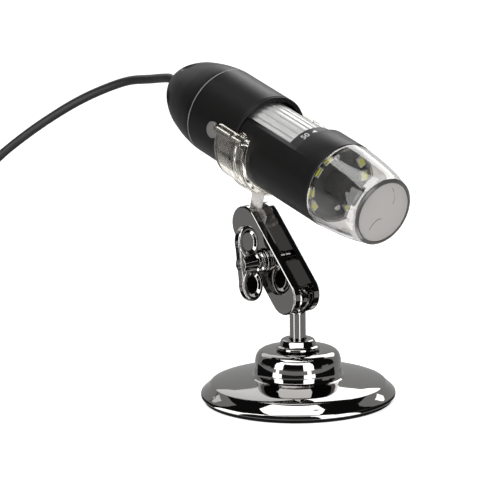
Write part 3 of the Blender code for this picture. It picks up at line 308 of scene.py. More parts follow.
finishes = {
    "darkChrome": {"colour": (0.28, 0.274, 0.268), "shade": (0.31, 0.303, 0.296), "patch": 40.0,
                   "metallic": 1.0, "rough": (0.020, 0.050), "roughScale": 90.0, "bump": 0.003,
                   "bumpScale": 900.0},
    "steel": {"colour": (0.58, 0.58, 0.59), "shade": (0.66, 0.66, 0.66), "patch": 300.0, "metallic": 1.0,
              "rough": (0.18, 0.30), "roughScale": 900.0, "bump": 0.03, "bumpScale": 4000.0},
    "castIron": {"colour": (0.10, 0.10, 0.10), "shade": (0.16, 0.155, 0.15), "patch": 400.0, "metallic": 1.0,
                 "rough": (0.60, 0.85), "roughScale": 500.0, "bump": 0.5, "bumpScale": 1500.0},
    "blackPad": {"colour": (0.008, 0.008, 0.008), "shade": (0.013, 0.013, 0.013), "patch": 500.0,
                 "rough": (0.75, 0.92), "roughScale": 700.0, "bump": 0.35, "bumpScale": 2200.0,
                 "specular": 0.15},
    "blackPlastic": {"colour": (0.0050, 0.0049, 0.0048), "shade": (0.0070, 0.0069, 0.0067), "patch": 120.0,
                     "rough": (0.35, 0.44), "roughScale": 260.0, "bump": 0.03, "bumpScale": 5200.0,
                     "specular": 0.20},
    "innerPlastic": {"colour": (0.008, 0.008, 0.008), "shade": (0.012, 0.012, 0.012), "patch": 200.0,
                     "rough": (0.40, 0.52), "roughScale": 300.0, "bump": 0.05, "bumpScale": 3500.0,
                     "specular": 0.4},
    "silverWheel": {"colour": (0.66, 0.66, 0.65), "shade": (0.78, 0.78, 0.77), "patch": 260.0,
                    "metallic": 0.35, "rough": (0.24, 0.36), "roughScale": 900.0, "bump": 0.04,
                    "bumpScale": 4200.0},
    "buttonPlastic": {"colour": (0.170, 0.166, 0.160), "shade": (0.205, 0.200, 0.192), "patch": 500.0,
                      "rough": (0.38, 0.50), "roughScale": 800.0, "bump": 0.08, "bumpScale": 4200.0},
    "boardBlack": {"colour": (0.012, 0.014, 0.014), "shade": (0.022, 0.024, 0.024), "patch": 500.0,
                   "rough": (0.35, 0.55), "roughScale": 900.0, "bump": 0.10, "bumpScale": 2500.0},
    "boardGreen": {"colour": (0.012, 0.095, 0.038), "shade": (0.022, 0.140, 0.060), "patch": 350.0,
                   "rough": (0.30, 0.48), "roughScale": 900.0, "bump": 0.12, "bumpScale": 1500.0},
    "lampBody": {"colour": (0.78, 0.78, 0.74), "shade": (0.86, 0.86, 0.82), "patch": 600.0,
                 "rough": (0.30, 0.42), "roughScale": 900.0, "bump": 0.03, "bumpScale": 3000.0},
    "lampYellow": {"colour": (0.74, 0.80, 0.05), "shade": (0.84, 0.88, 0.12), "patch": 900.0,
                   "rough": (0.22, 0.40), "roughScale": 1500.0, "bump": 0.08, "bumpScale": 4000.0},
    "cordJacket": {"colour": (0.0085, 0.0085, 0.009), "shade": (0.013, 0.013, 0.0135), "patch": 160.0,
                   "rough": (0.36, 0.50), "roughScale": 420.0, "bump": 0.06, "bumpScale": 2600.0,
                   "specular": 0.45},
    "plugPlastic": {"colour": (0.010, 0.010, 0.011), "shade": (0.016, 0.016, 0.017), "patch": 220.0,
                    "rough": (0.42, 0.58), "roughScale": 500.0, "bump": 0.12, "bumpScale": 3200.0},
    "tieFabric": {"colour": (0.012, 0.012, 0.013), "shade": (0.024, 0.024, 0.025), "patch": 700.0,
                  "rough": (0.80, 0.95), "roughScale": 1200.0, "bump": 0.8, "bumpScale": 2600.0,
                  "specular": 0.2},
    "tongueWhite": {"colour": (0.78, 0.78, 0.77), "shade": (0.84, 0.84, 0.83), "patch": 500.0,
                    "rough": (0.42, 0.55), "roughScale": 600.0, "bump": 0.04, "bumpScale": 3000.0},
    "markWhite": {"colour": (0.72, 0.72, 0.71), "shade": (0.82, 0.82, 0.81), "patch": 900.0,
                  "rough": (0.45, 0.60), "roughScale": 900.0, "bump": 0.02, "bumpScale": 4000.0},
    "clearPlastic": {"colour": (0.87, 0.84, 0.76), "shade": (0.91, 0.885, 0.82), "patch": 120.0,
                     "rough": (0.03, 0.07), "roughScale": 300.0, "bump": 0.010, "bumpScale": 700.0,
                     "transmission": 1.0, "ior": 1.47},
    "frostedPlastic": {"colour": (0.66, 0.64, 0.61), "shade": (0.72, 0.70, 0.67), "patch": 200.0,
                       "rough": (0.22, 0.34), "roughScale": 500.0, "bump": 0.03, "bumpScale": 1500.0,
                       "transmission": 0.75, "ior": 1.47},
    "smokyPlastic": {"colour": (0.685, 0.675, 0.665), "shade": (0.725, 0.715, 0.705), "patch": 90.0,
                     "rough": (0.02, 0.05), "roughScale": 200.0, "bump": 0.006, "bumpScale": 500.0,
                     "transmission": 1.0, "ior": 1.47},
    "windowPlastic": {"colour": (0.62, 0.60, 0.58), "shade": (0.66, 0.64, 0.62), "patch": 90.0,
                      "rough": (0.05, 0.10), "roughScale": 200.0, "bump": 0.006, "bumpScale": 500.0,
                      "transmission": 0.30, "ior": 1.47},
    "smokyRim": {"colour": (0.085, 0.083, 0.082), "shade": (0.115, 0.112, 0.110), "patch": 120.0,
                 "rough": (0.12, 0.22), "roughScale": 300.0, "bump": 0.01, "bumpScale": 900.0},
    # A light grey for the thin ring at the cap's seam: a painted highlight, standing in for light caught by
    # the seam's edge.
    "paintedSeamHighlight": {"colour": (0.30, 0.30, 0.30), "shade": (0.40, 0.40, 0.40), "patch": 200.0,
                  "rough": (0.30, 0.40), "roughScale": 300.0, "bump": 0.02, "bumpScale": 900.0},
    "lensGlass": {"colour": (0.80, 0.84, 0.88), "shade": (0.84, 0.88, 0.92), "patch": 300.0,
                  "rough": (0.00, 0.02), "roughScale": 900.0, "bump": 0.0, "bumpScale": 900.0,
                  "transmission": 1.0, "ior": 1.5, "coat": 0.6},
}


def addNode(tree, kind, **values):
    node = tree.nodes.new(kind)
    for key, value in values.items():
        if hasattr(node, key):
            setattr(node, key, value)
        else:
            node.inputs[key.replace("_", " ")].default_value = value
    return node


def newMaterial(name):
    material = bpy.data.materials.new(name)
    material.use_nodes = True
    material.node_tree.nodes.clear()
    return material, material.node_tree


# Values that a finish may give, with their sockets and what they are otherwise
shaderValues = {
    "metallic": ("Metallic", 0.0), "specular": ("Specular IOR Level", 0.5), "ior": ("IOR", 1.5),
    "transmission": ("Transmission Weight", 0.0), "coat": ("Coat Weight", 0.0),
}


def makeFinish(name, look):
    material, tree = newMaterial(name)
    link = tree.links.new
    out = addNode(tree, "ShaderNodeOutputMaterial")
    shader = addNode(tree, "ShaderNodeBsdfPrincipled")
    for key, (socket, usual) in shaderValues.items():
        shader.inputs[socket].default_value = look.get(key, usual)
    spots = addNode(tree, "ShaderNodeTexCoord")

    def noise(scale, detail):
        grain = addNode(tree, "ShaderNodeTexNoise", Scale=scale, Detail=detail)
        link(spots.outputs["Object"], grain.inputs["Vector"])
        return grain.outputs["Fac"]

    ramp = addNode(tree, "ShaderNodeMix", data_type="RGBA")
    ramp.inputs[6].default_value = (*look["colour"], 1.0)
    ramp.inputs[7].default_value = (*look["shade"], 1.0)
    link(noise(look["patch"], 3.0), ramp.inputs[0])
    link(ramp.outputs[2], shader.inputs["Base Color"])
    spread = addNode(tree, "ShaderNodeMapRange", To_Min=look["rough"][0], To_Max=look["rough"][1])
    link(noise(look["roughScale"], 2.0), spread.inputs["Value"])
    link(spread.outputs["Result"], shader.inputs["Roughness"])
    if look["bump"] > 0.0:
        bump = addNode(tree, "ShaderNodeBump", Strength=look["bump"], Distance=0.0002)
        link(noise(look["bumpScale"], 2.0), bump.inputs["Height"])
        link(bump.outputs["Normal"], shader.inputs["Normal"])
    if look.get("transmission", 0.0) > 0.0:
        rays = addNode(tree, "ShaderNodeLightPath")
        see = addNode(tree, "ShaderNodeBsdfTransparent")
        see.inputs["Color"].default_value = (*look["colour"], 1.0)
        mix = addNode(tree, "ShaderNodeMixShader")
        link(rays.outputs["Is Shadow Ray"], mix.inputs["Fac"])
        link(shader.outputs["BSDF"], mix.inputs[1])
        link(see.outputs["BSDF"], mix.inputs[2])
        link(mix.outputs["Shader"], out.inputs["Surface"])
    else:
        link(shader.outputs["BSDF"], out.inputs["Surface"])
    return material


finish = {name: makeFinish(name, look) for name, look in finishes.items()}
print("finishes made")

# ---- Cord, in metres, on the same route as its solids ----

cordShape = {
    "radius": 0.00175,
    "gap": 0.0003,
    "lift": 0.0009,
    "exitStation": -0.0538,      # along the barrel, from its axis point
    "route": (
        (-0.0483, 0.0575, 0.1105), (-0.0555, 0.0670, 0.1084), (-0.0643, 0.0750, 0.1063),
        (-0.0746, 0.0805, 0.1019), (-0.0847, 0.0840, 0.0966), (-0.0949, 0.0860, 0.0902),
        (-0.1050, 0.0870, 0.0831), (-0.1151, 0.0870, 0.0750), (-0.1240, 0.0870, 0.0655),
        (-0.1315, 0.0870, 0.0545), (-0.1375, 0.0868, 0.0425), (-0.1430, 0.0864, 0.0305),
        (-0.1490, 0.0860, 0.0195), (-0.1570, 0.0855, 0.0100), (-0.1675, 0.0850, 0.0040),
    ),
    "coilCentre": (-0.1840, 0.0548),
    "coilInner": 0.0115,
    "coilPitch": 0.0040,
    "layerHeight": 0.0040,
    "coilTurns": 9.25,
    "pointsPerTurn": 36,
    "coilStartDeg": 90.0,
    "tailLength": 0.0250,
    "tailSteps": 12,
    "plugHeight": 0.0079,
    "spacing": 0.0025,
    # For each length, the bodies at its two ends (which nothing reads) and that length. The cord leaves the
    # barrel on the axis that it rolls on.
    "spans": (("clip", "stem", 0.0302), ("stem", "clamp", 0.0302), ("clamp", "post", 0.0680),
              ("post", "root", 1.0)),
}


stepsPerKnot = 16


def smoothPath(knots, spacing):
    # Even points along a smooth curve through the knots.
    knots = [Vector(knot) for knot in knots]
    padded = [2.0 * knots[0] - knots[1]] + knots + [2.0 * knots[-1] - knots[-2]]
    dense = []
    for a, b, c, d in zip(padded, padded[1:], padded[2:], padded[3:]):
        for i in range(stepsPerKnot):
            t = i / stepsPerKnot
            dense.append(0.5 * (2.0 * b + (c - a) * t + (2.0 * a - 5.0 * b + 4.0 * c - d) * t * t
                                + (3.0 * b - a - 3.0 * c + d) * t * t * t))
    dense.append(knots[-1])
    lengths = [0.0]
    for near, far in zip(dense, dense[1:]):
        lengths.append(lengths[-1] + (far - near).length)
    count = max(2, round(lengths[-1] / spacing))
    points = []
    k = 0
    for i in range(count + 1):
        target = lengths[-1] * i / count
        while k < len(dense) - 2 and lengths[k + 1] < target:
            k += 1
        share = (target - lengths[k]) / max(lengths[k + 1] - lengths[k], 1e-9)
        points.append(dense[k].lerp(dense[k + 1], min(1.0, share)))
    return points


def coilPath(shape):
    half = shape["coilTurns"] / 2.0
    count = round(shape["coilTurns"] * shape["pointsPerTurn"])
    points = []
    for i in range(count + 1):
        turns = shape["coilTurns"] * i / count
        past = turns - half
        radius = shape["coilInner"] + shape["coilPitch"] * abs(past)
        angle = math.radians(shape["coilStartDeg"]) + turn * turns
        rise = min(1.0, max(0.0, 2.0 * past + 0.5))
        height = shape["radius"] + shape["lift"] + shape["layerHeight"] * rise * rise * (3.0 - 2.0 * rise)
        points.append(Vector((shape["coilCentre"][0] + radius * math.cos(angle),
                              shape["coilCentre"][1] + radius * math.sin(angle), height)))
    last = points[-1].copy()
    rest = shape["plugHeight"] / 2.0
    steps = shape["tailSteps"]
    for i in range(1, steps + 1):
        share = i / steps
        fall = min(1.0, share * steps / (steps - 1.0))
        ease = fall * fall * (3.0 - 2.0 * fall)
        spot = last + Vector((0.0, -shape["tailLength"] * share, 0.0))
        spot.z = last.z + (rest - last.z) * ease
        points.append(spot)
    return points


def length(points):
    return sum((far - near).length for near, far in zip(points, points[1:]))


def makeTube(name, points, radius):
    # A drawn curve with a round bevel, turned into a mesh.
    deselect()
    bpy.ops.curve.primitive_nurbs_path_add()
    tube = bpy.context.object
    tube.name = name
    line = tube.data
    line.splines.clear()
    spline = line.splines.new("POLY")
    spline.points.add(len(points) - 1)
    for spot, point in zip(spline.points, points):
        spot.co = (*point, 1.0)
    line.bevel_depth = radius
    line.bevel_resolution = 5
    line.use_fill_caps = True
    bpy.ops.object.convert(target="MESH")
    tube = bpy.context.object
    tube.name = tube.data.name = name
    bpy.ops.object.mode_set(mode="EDIT")
    tidyMesh(1e-6)
    return smooth(tube, 50.0)


def makeCords(shape):
    coil = coilPath(shape)
    exitAt = Vector(joints["barrel_roll"]["pos_m"]) + noseWay * shape["exitStation"]
    straight = exitAt - noseWay * 2.0 * shape["radius"]
    last = coil[0] + Vector((shape["gap"], 0.0, 0.0))
    settled = [last + Vector((offset * shape["radius"], 0.0, 0.0)) for offset in (4.0, 2.0)]
    route = [straight] + [Vector(spot) for spot in shape["route"]] + settled
    points = [exitAt] + smoothPath(route, shape["spacing"]) + [last]
    left = points
    for i, (near, far, reach) in enumerate(shape["spans"]):
        count = next((k for k in range(2, len(left)) if length(left[:k]) >= reach), len(left))
        path, left = left[:count], left[count - 1:]
        tube = makeTube("cordLead%d" % (i + 1), path, shape["radius"])
        tube.data.materials.append(finish["cordJacket"])
        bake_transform(tube)
        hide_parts("usb_lead")
    tube = makeTube("cordCoil", coil, shape["radius"])
    settle(tube, Matrix.Identity(4), "root", finish["cordJacket"], ["usb_coil"])
    return tube, coil


cordCoil, coilPoints = makeCords(cordShape)
print("cords laid")

# ---- Foot, collar and ball post, in millimetres ----

standShape = {
    "pad": [(0.0, 0.0), (34.8, 0.0, 0.25), (34.8, 1.0, 0.25), (0.0, 1.0)],
    "shellOutside": [
        (35.4, 1.3), (35.9, 1.65, 0.3), (36.0, 2.2), (35.95, 3.0, 0.5), (35.3, 3.75), (34.2, 4.7),
        (32.8, 5.95), (32.35, 6.6, 0.5), (31.2, 7.05), (28.0, 7.6), (24.0, 8.15), (20.0, 8.6),
        (17.4, 8.88, 0.3), (16.7, 9.15), (16.25, 9.75, 0.4), (16.0, 10.6), (15.95, 12.0), (15.88, 14.8),
        (15.72, 16.0), (15.35, 17.1), (14.75, 18.0), (13.9, 18.6), (12.9, 18.88), (9.0, 18.9),
    ],
    "shellInside": [
        (3.3, 18.9), (3.3, 17.3), (12.4, 17.3), (13.8, 16.6), (14.3, 15.3), (14.35, 9.3), (16.5, 7.4),
        (31.6, 5.1), (34.3, 2.5), (34.3, 1.3),
    ],
    "collar": [
        (3.3, 19.2), (7.7, 19.2, 0.2), (8.1, 19.65, 0.25), (7.95, 20.35, 0.3), (7.1, 20.75, 0.3),
        (6.75, 21.3), (6.3, 22.3), (6.1, 22.75, 0.25), (5.6, 23.0, 0.25), (3.3, 23.0),
    ],
    "postRadius": 3.0,
    "postFoot": 4.6,
    "neckFoot": (33.1, 34.0),
    "neckRadius": 2.4,
    "ballRadius": 4.6,
    "ballHeight": 38.2,
    "ballGroovesDeg": (28.0, 40.0, 52.0),
    "ballGroove": (2.0, 0.2),   # half its width in degrees, and its depth
}


def ballSpot(radius, height, degrees):
    angle = math.radians(degrees)
    return max(0.0, radius * math.cos(angle)), height + radius * math.sin(angle)


def ballArc(radius, height, fromDeg, toDeg, steps):
    return [ballSpot(radius, height, fromDeg + (toDeg - fromDeg) * i / steps) for i in range(steps + 1)]


def groovedBall(radius, height, fromDeg, groovesDeg, half, deep):
    # Fine turned rings on the ball's upper side, where it shows between the plates.
    spots = ballArc(radius, height, fromDeg, groovesDeg[0] - 3.0, 20)
    for angle in groovesDeg:
        spots += [ballSpot(radius, height, angle - half), ballSpot(radius - deep, height, angle)]
        spots += ballArc(radius, height, angle + half, angle + 8.0, 2)
    return spots + ballArc(radius, height, groovesDeg[-1] + 11.0, 90.0, 8)


def makeStand(shape):
    pad = turned("footPad", shape["pad"], 128)
    settle(pad, floorPlace, "root", finish["blackPad"], ["foot_pad"])
    shell = turned("footShell", shape["shellOutside"] + shape["shellInside"], 192)
    settle(smooth(shell, 28.0), floorPlace, "root", finish["darkChrome"], ["base_shell"])
    collar = turned("collarNut", shape["collar"], 96)
    settle(collar, floorPlace, "root", finish["darkChrome"], ["collar_nut"])
    radius = shape["ballRadius"]
    neckDeg = -math.degrees(math.acos(shape["neckRadius"] / radius))
    ball = groovedBall(radius, shape["ballHeight"], neckDeg, shape["ballGroovesDeg"], *shape["ballGroove"])
    post = [(0.0, shape["postFoot"]), (shape["postRadius"], shape["postFoot"], 0.4),
            (shape["postRadius"], shape["neckFoot"][0], 0.5),
            (shape["neckRadius"], shape["neckFoot"][1], 0.5)]
    post = turned("ballPost", post + ball, 72)
    settle(post, floorPlace, "post", finish["darkChrome"], ["ball_post"])


makeStand(standShape)
print("stand modelled")

# ---- Clamp ----

clampShape = {
    "spacing": 35.9,
    "radius": 7.1,
    "pastBall": 5.1,
    "inner": 3.3,
    "outer": 6.15,
    "edge": 0.6,
    "ballRadius": 4.6,
    "socketRadius": 4.9,
    "boreRadius": 2.3,
}
screwShape = {
    "outline": [(0.0, -8.65), (2.9, -8.6), (3.5, -8.3, 0.3), (3.8, -7.7, 0.3), (3.8, -6.45, 0.15),
                (2.0, -6.45), (2.0, 15.2), (1.7, 15.55), (0.0, 15.55)],
    "slot": (4.4, 0.8, 0.85, 0.9),   # length, width, and how far it goes out of the head and into it
    "washer": [(2.3, 6.45, 0.1), (4.6, 6.45, 0.15), (4.6, 7.25, 0.15), (2.3, 7.25, 0.1)],
}
wingShape = {
    "foot": 7.55,
    "hub": [
        (0.0, 0.0), (4.2, 0.0, 0.2), (4.2, 1.1, 0.2), (3.6, 1.55), (3.6, 1.95), (4.2, 2.4, 0.2),
        (4.2, 3.4, 0.2), (3.65, 3.85), (3.45, 5.4), (2.9, 9.3, 0.2), (0.0, 9.6),
    ],
    "boreRadius": 2.3,
    "boreDepth": 8.3,
    "reach": 14.0,
    "halfLength": 6.1,
    "halfWidth": 4.8,
    "lift": 5.4,
    # From the middle of a wing's hollow out to its rim, and back on the other face
    "lobe": [(0.0, -0.75), (3.4, -0.75, 0.8), (4.6, -1.5, 0.4), (6.1, -1.5, 0.8), (6.1, 1.5, 0.8),
             (4.6, 1.5, 0.4), (3.4, 0.75, 0.8), (0.0, 0.75)],
    "spine": (18.6, 2.7, 8.2, 10.05),   # length, width, and heights from and to
    "spineCorner": 0.8,
    "spineEase": 0.45,
    "tip": [(0.0, 9.5), (1.5, 9.5), (1.4, 10.25, 0.2), (0.0, 10.4)],
}


def stadium(radius, low, high, steps=24):
    spots = []
    for middle, start in ((high, 0.0), (low, math.pi)):
        for i in range(steps + 1):
            angle = start + math.pi * i / steps
            spots.append((radius * math.cos(angle), middle + radius * math.sin(angle)))
    return spots


def makePlates(shape):
    low = shape["radius"] - shape["pastBall"]
    outline = stadium(shape["radius"], low, shape["spacing"] - low)
    plate = slab("plateNear", outline, shape["inner"], shape["outer"])
    pick(plate)
    bpy.ops.object.mode_set(mode="EDIT")
    bpy.ops.mesh.select_all(action="DESELECT")
    bpy.ops.object.mode_set(mode="OBJECT")
    for edge in plate.data.edges:
        edge.select = all(plate.data.vertices[v].co.z > shape["outer"] - 0.01 for v in edge.vertices)
    bpy.ops.object.mode_set(mode="EDIT")
    bpy.ops.mesh.bevel(offset=shape["edge"], segments=5, profile=0.5, affect="EDGES")
    bpy.ops.object.mode_set(mode="OBJECT")
    for height in (0.0, shape["spacing"]):
        ball = turned("socketTool", ballArc(shape["socketRadius"], 0.0, -90.0, 90.0, 32), 64)
        combine(plate, moved(ball, at(0.0, height, 0.0)))
    bore = rodTool(shape["boreRadius"], 0.0, shape["outer"] + 2.85)
    combine(plate, moved(bore, at(0.0, shape["spacing"] / 2.0, 0.0)))
    smooth(plate, 30.0)
    flip = at(0.0, shape["spacing"], 0.0) @ Matrix.Rotation(math.pi, 4, "X")
    twin = copied(plate, "plateFar", flip)
    stand = Matrix.Rotation(math.pi / 2.0, 4, "X")
    for piece, node in ((plate, "near_plate"), (twin, "far_plate")):
        settle(piece, clampPlace @ stand, "clamp", finish["darkChrome"], [node])


def makeScrew(shape):
    screw = turned("clampScrew", shape["outline"], 64)
    long, narrow, out, deep = shape["slot"]
    head = shape["outline"][0][1]
    for degrees in (0.0, 90.0):
        slot = slab("slotTool", blockOutline(long, narrow), head - out, head + deep)
        combine(screw, moved(slot, around(degrees)))
    settle(smooth(screw), screwPlace, "clamp", finish["darkChrome"], ["clamp_screw"])
    washer = turned("clampWasher", shape["washer"], 72)
    settle(washer, screwPlace, "clamp", finish["darkChrome"], ["clamp_washer"])


def makeWingNut(shape):
    hub = turned("wingNut", shape["hub"], 72)
    oval = Matrix.Diagonal((1.0, shape["halfWidth"] / shape["halfLength"], 1.0, 1.0))
    upright = Matrix.Rotation(math.pi / 2.0, 4, "X")
    for side in (1.0, -1.0):
        lobe = turned("lobe", shape["lobe"], 72)
        spot = at(side * (shape["reach"] - shape["halfLength"]), 0.0, shape["lift"])
        combine(hub, moved(lobe, spot @ upright @ oval), "UNION")
    span, wide, low, high = shape["spine"]
    spine = slab("spine", blockOutline(span, wide, shape["spineCorner"]), low, high)
    combine(hub, bevelled(spine, shape["spineEase"], 3), "UNION")
    combine(hub, turned("tip", shape["tip"], 40), "UNION")
    combine(hub, rodTool(shape["boreRadius"], -1.0, shape["boreDepth"]))
    smooth(hub, 32.0)
    where = screwPlace @ at(0.0, 0.0, shape["foot"])
    settle(hub, where, "wing", finish["darkChrome"], ["wing_nut"])


makePlates(clampShape)
makeScrew(screwShape)
makeWingNut(wingShape)
print("clamp modelled")

# ---- Stem and clip ----

stemShape = {
    "ballRadius": 4.6,
    "radius": 2.3,
    "flareFoot": 9.7,
    "flareTop": 12.1,
    "flareRadius": 3.6,
}
clipShape = {
    "inner": 17.2,
    "outer": 19.0,
    "rib": 19.7,
    "rear": -7.9,
    "front": 8.8,
    "ribRear": 0.9,
    "ribFront": 4.9,
    "startDeg": 75.0,
    "endDeg": 285.0,
    # The lip at the band's ends, across the barrel: X is up to its flat top, Y out from the axis
    "lip": [(1.2, 16.6), (1.2, 18.7), (3.7, 20.3, 0.6), (5.3, 20.6, 0.2), (5.3, 16.1, 0.1)],
    "lipCorner": 2.2,
    "lipSides": (15.0, 20.6),
    "lipEase": 0.1,
    "roomGap": 0.06,
    "slots": ((-6.9, 0.9), (1.9, 7.0)),
    "slotSides": (17.35, 19.6),
    "slotDepth": 1.5,
    "slotCorner": 0.3,
    "ear": (16.95, 0.7, 5.2, 1.9, 1.1),   # how far out, thickness, station, and outer and inner radius
}


def makeStem(shape):
    neckDeg = math.degrees(math.acos(shape["radius"] / shape["ballRadius"]))
    outline = ballArc(shape["ballRadius"], 0.0, -90.0, neckDeg, 32)
    outline += [(shape["radius"], shape["flareFoot"] - 0.6),
                (shape["radius"] + 0.35, shape["flareFoot"] + 0.4),
                (shape["flareRadius"] - 0.5, shape["flareTop"] - 0.9),
                (shape["flareRadius"], shape["flareTop"], 0.15), (0.0, shape["flareTop"])]
    stem = turned("clipStem", outline, 64)
    settle(stem, stemPlace, "stem", finish["frostedPlastic"], ["ball_stem"])


def makeClip(shape):
    sweep = shape["endDeg"] - shape["startDeg"]
    rear, front = shape["rear"], shape["front"]
    band = [
        (shape["inner"], rear, 0.3), (shape["outer"], rear, 0.5),
        (shape["outer"], shape["ribRear"], 0.2), (shape["rib"], shape["ribRear"], 0.25),
        (shape["rib"], shape["ribFront"], 0.25), (shape["outer"], shape["ribFront"], 0.2),
        (shape["outer"], front, 0.5), (shape["inner"], front, 0.3),
    ]
    clip = turned("clipBand", band, 96, sweepDeg=sweep, startDeg=shape["startDeg"])
    top = shape["lip"][-1][0]
    # Stands a flat outline of (across, along) spots up on the lip, with its height along the barrel's X.
    lying = Matrix(((0.0, 0.0, 1.0, 0.0), (1.0, 0.0, 0.0, 0.0), (0.0, 1.0, 0.0, 0.0), (0.0, 0.0, 0.0, 1.0)))
    for side in (1.0, -1.0):
        lip = slab("lip", [(x, side * y, *ease) for x, y, *ease in shape["lip"]][::int(side)], rear, front)
        near, far = (side * y for y in shape["lipSides"])
        plan = [(near, rear - 1.0), (far, rear - 1.0), (far, front, shape["lipCorner"]), (near, front)]
        plan = slab("planTool", plan[::int(side)], -2.0, top + 2.0)
        combine(lip, moved(plan, lying), "INTERSECT")
        combine(lip, rodTool(shape["inner"] + shape["roomGap"], -20.0, 20.0, 192))
        bevelled(lip, shape["lipEase"], 1, 50.0)
        inner, outer = (side * y for y in shape["slotSides"])
        ease = shape["slotCorner"]
        for start, end in shape["slots"]:
            slot = [(inner, start, ease), (outer, start, ease), (outer, end, ease), (inner, end, ease)]
            slot = slab("slotTool", slot[::int(side)], top - shape["slotDepth"], top + 1.0)
            combine(lip, moved(slot, lying))
        combine(clip, lip, "UNION")
    # A small half-round ear on the near lip's inner edge
    across, thick, along, outer, inner = shape["ear"]
    ear = [(outer, -0.5)] + [(outer * math.cos(math.radians(a)), outer * math.sin(math.radians(a)))
                             for a in range(0, 181, 10)] + [(-outer, -0.5), (-inner, -0.5)]
    ear += [(inner * math.cos(math.radians(a)), inner * math.sin(math.radians(a)))
            for a in range(180, -1, -10)]
    ear = slab("ear", ear + [(inner, -0.5)], -thick / 2.0, thick / 2.0)
    standing = Matrix(((0.0, 1.0, 0.0, top), (0.0, 0.0, 1.0, across), (1.0, 0.0, 0.0, along),
                       (0.0, 0.0, 0.0, 1.0)))
    combine(clip, moved(ear, standing), "UNION")
    smooth(clip, 30.0)
    settle(clip, barrelPlace, "clip", finish["clearPlastic"], ["clip_band"])


makeStem(stemShape)
makeClip(clipShape)
print("clip modelled")

# ---- Barrel housing ----

barrelShape = {
    "radius": 16.9,
    "bore": 15.2,
    "seam": -26.5,
    "tail": -52.5,
    "rim": 0.5,
    "capEnd": 6.0,
    "capShares": ((0.00, 1.000), (0.08, 0.991), (0.19, 0.966), (0.31, 0.931), (0.46, 0.870), (0.58, 0.811),
                  (0.69, 0.736), (0.80, 0.640), (0.88, 0.555), (0.95, 0.462)),
    "cordHole": 2.7,
    "capWall": 1.7,
    "capStep": 0.8,                  # how much further forward the wall's inside is
    "capJoint": (13.2, 14.9, 3.5),   # inner and outer radius, and half its length
    "frontRadius": 16.36,
    "frontStart": 0.8,
    "frontEnd": 42.85,
    "windowFromDeg": -61.0,
    "windowToDeg": 52.0,
    "windowLeanDeg": 6.0,
    "windowEnd": 29.4,
    "dimplesDeg": (20.0, 92.0, 164.0, 236.0, 308.0),
    "dimple": (17.05, -47.8, 7.0),   # its ball's radius from the axis, station and size
    # Half the width of the light grey ring at the seam, a painted highlight
    "seamHighlightRing": 0.14,
    # Steps in radius and along, from the rear shell's front rim
    "rimGroove": ((0.0, -1.3), (-0.18, -1.1), (-0.18, -0.85), (0.0, -0.65)),
    "buttonStation": -12.1,
    "buttonDeg": 86.3,
    "buttonHole": 3.4,
    "button": [(0.0, 14.0), (3.7, 14.0), (3.7, 14.45), (3.1, 14.45), (3.1, 17.1, 0.25), (2.7, 17.4, 0.15),
               (2.3, 17.35), (0.0, 17.22)],
}


def smoothSpots(knots, steps):
    # More spots on a smooth line through the given ones.
    flat = [Vector((*knot, 0.0)) for knot in knots]
    return [(spot.x, spot.y) for spot in smoothPath(flat, length(flat) / steps)]


def makeCap(shape):
    seam, tail, hole, wall = shape["seam"], shape["tail"], shape["cordHole"], shape["capWall"]
    knots = [(shape["radius"] * r, seam - (seam - tail) * d) for d, r in shape["capShares"]]
    outside = smoothSpots(knots + [(shape["capEnd"] + 0.6, tail + 0.3)], 40)
    outside = [(shape["radius"], seam - 0.05)] + outside[1:]
    bore, joint, reach = shape["capJoint"]
    inside = [(r - wall, z + shape["capStep"]) for r, z in outside if z < seam - reach and r > hole + 3.0]
    outline = outside + [(shape["capEnd"] - 0.3, tail), (hole, tail, 0.2), (hole, tail + wall)] + inside[::-1]
    outline += [(bore, seam - reach), (bore, seam + reach), (joint, seam + reach), (joint, seam)]
    cap = turned("rearCap", outline, 160)
    away, station, size = shape["dimple"]
    for degrees in shape["dimplesDeg"]:
        scoop = turned("scoopTool", ballArc(size, 0.0, -90.0, 90.0, 40), 72)
        combine(cap, moved(scoop, around(degrees) @ at(away, 0.0, station)))
    settle(smooth(cap, 40.0), barrelPlace, "barrel", finish["blackPlastic"], ["rear_cap"])
    # A thin light grey ring at the seam between cap and shell: a painted highlight for the light that the
    # seam's edge catches.
    low, high = seam + 0.15 - shape["seamHighlightRing"], seam + 0.15 + shape["seamHighlightRing"]
    under, top = shape["radius"] - 0.6, shape["radius"] - 0.02
    line = turned("seamHighlightRing", [(under, low), (top, low), (top, high), (under, high)], 160)
    settle(line, barrelPlace, "barrel", finish["paintedSeamHighlight"])


def buttonPlace(shape):
    z = Vector((math.cos(math.radians(shape["buttonDeg"])), math.sin(math.radians(shape["buttonDeg"])), 0.0))
    x = Vector((0.0, 0.0, 1.0))
    spot = Matrix((x, z.cross(x), z)).transposed().to_4x4()
    return at(0.0, 0.0, shape["buttonStation"]) @ spot


def makeRearShell(shape):
    radius, rear, rim = shape["radius"], shape["seam"] + 0.3, shape["rim"]
    outline = [(shape["bore"], rear), (radius, rear, 0.35)]
    outline += [(radius + deep, rim + along) for deep, along in shape["rimGroove"]]
    shell = turned("rearShell", outline + [(radius, rim, 0.3), (shape["bore"], rim, 0.2)], 160)
    combine(shell, moved(rodTool(shape["buttonHole"], 0.0, 19.0, 64), buttonPlace(shape)))
    settle(smooth(shell, 25.0), barrelPlace, "barrel", finish["blackPlastic"],
           ["rear_shell"])


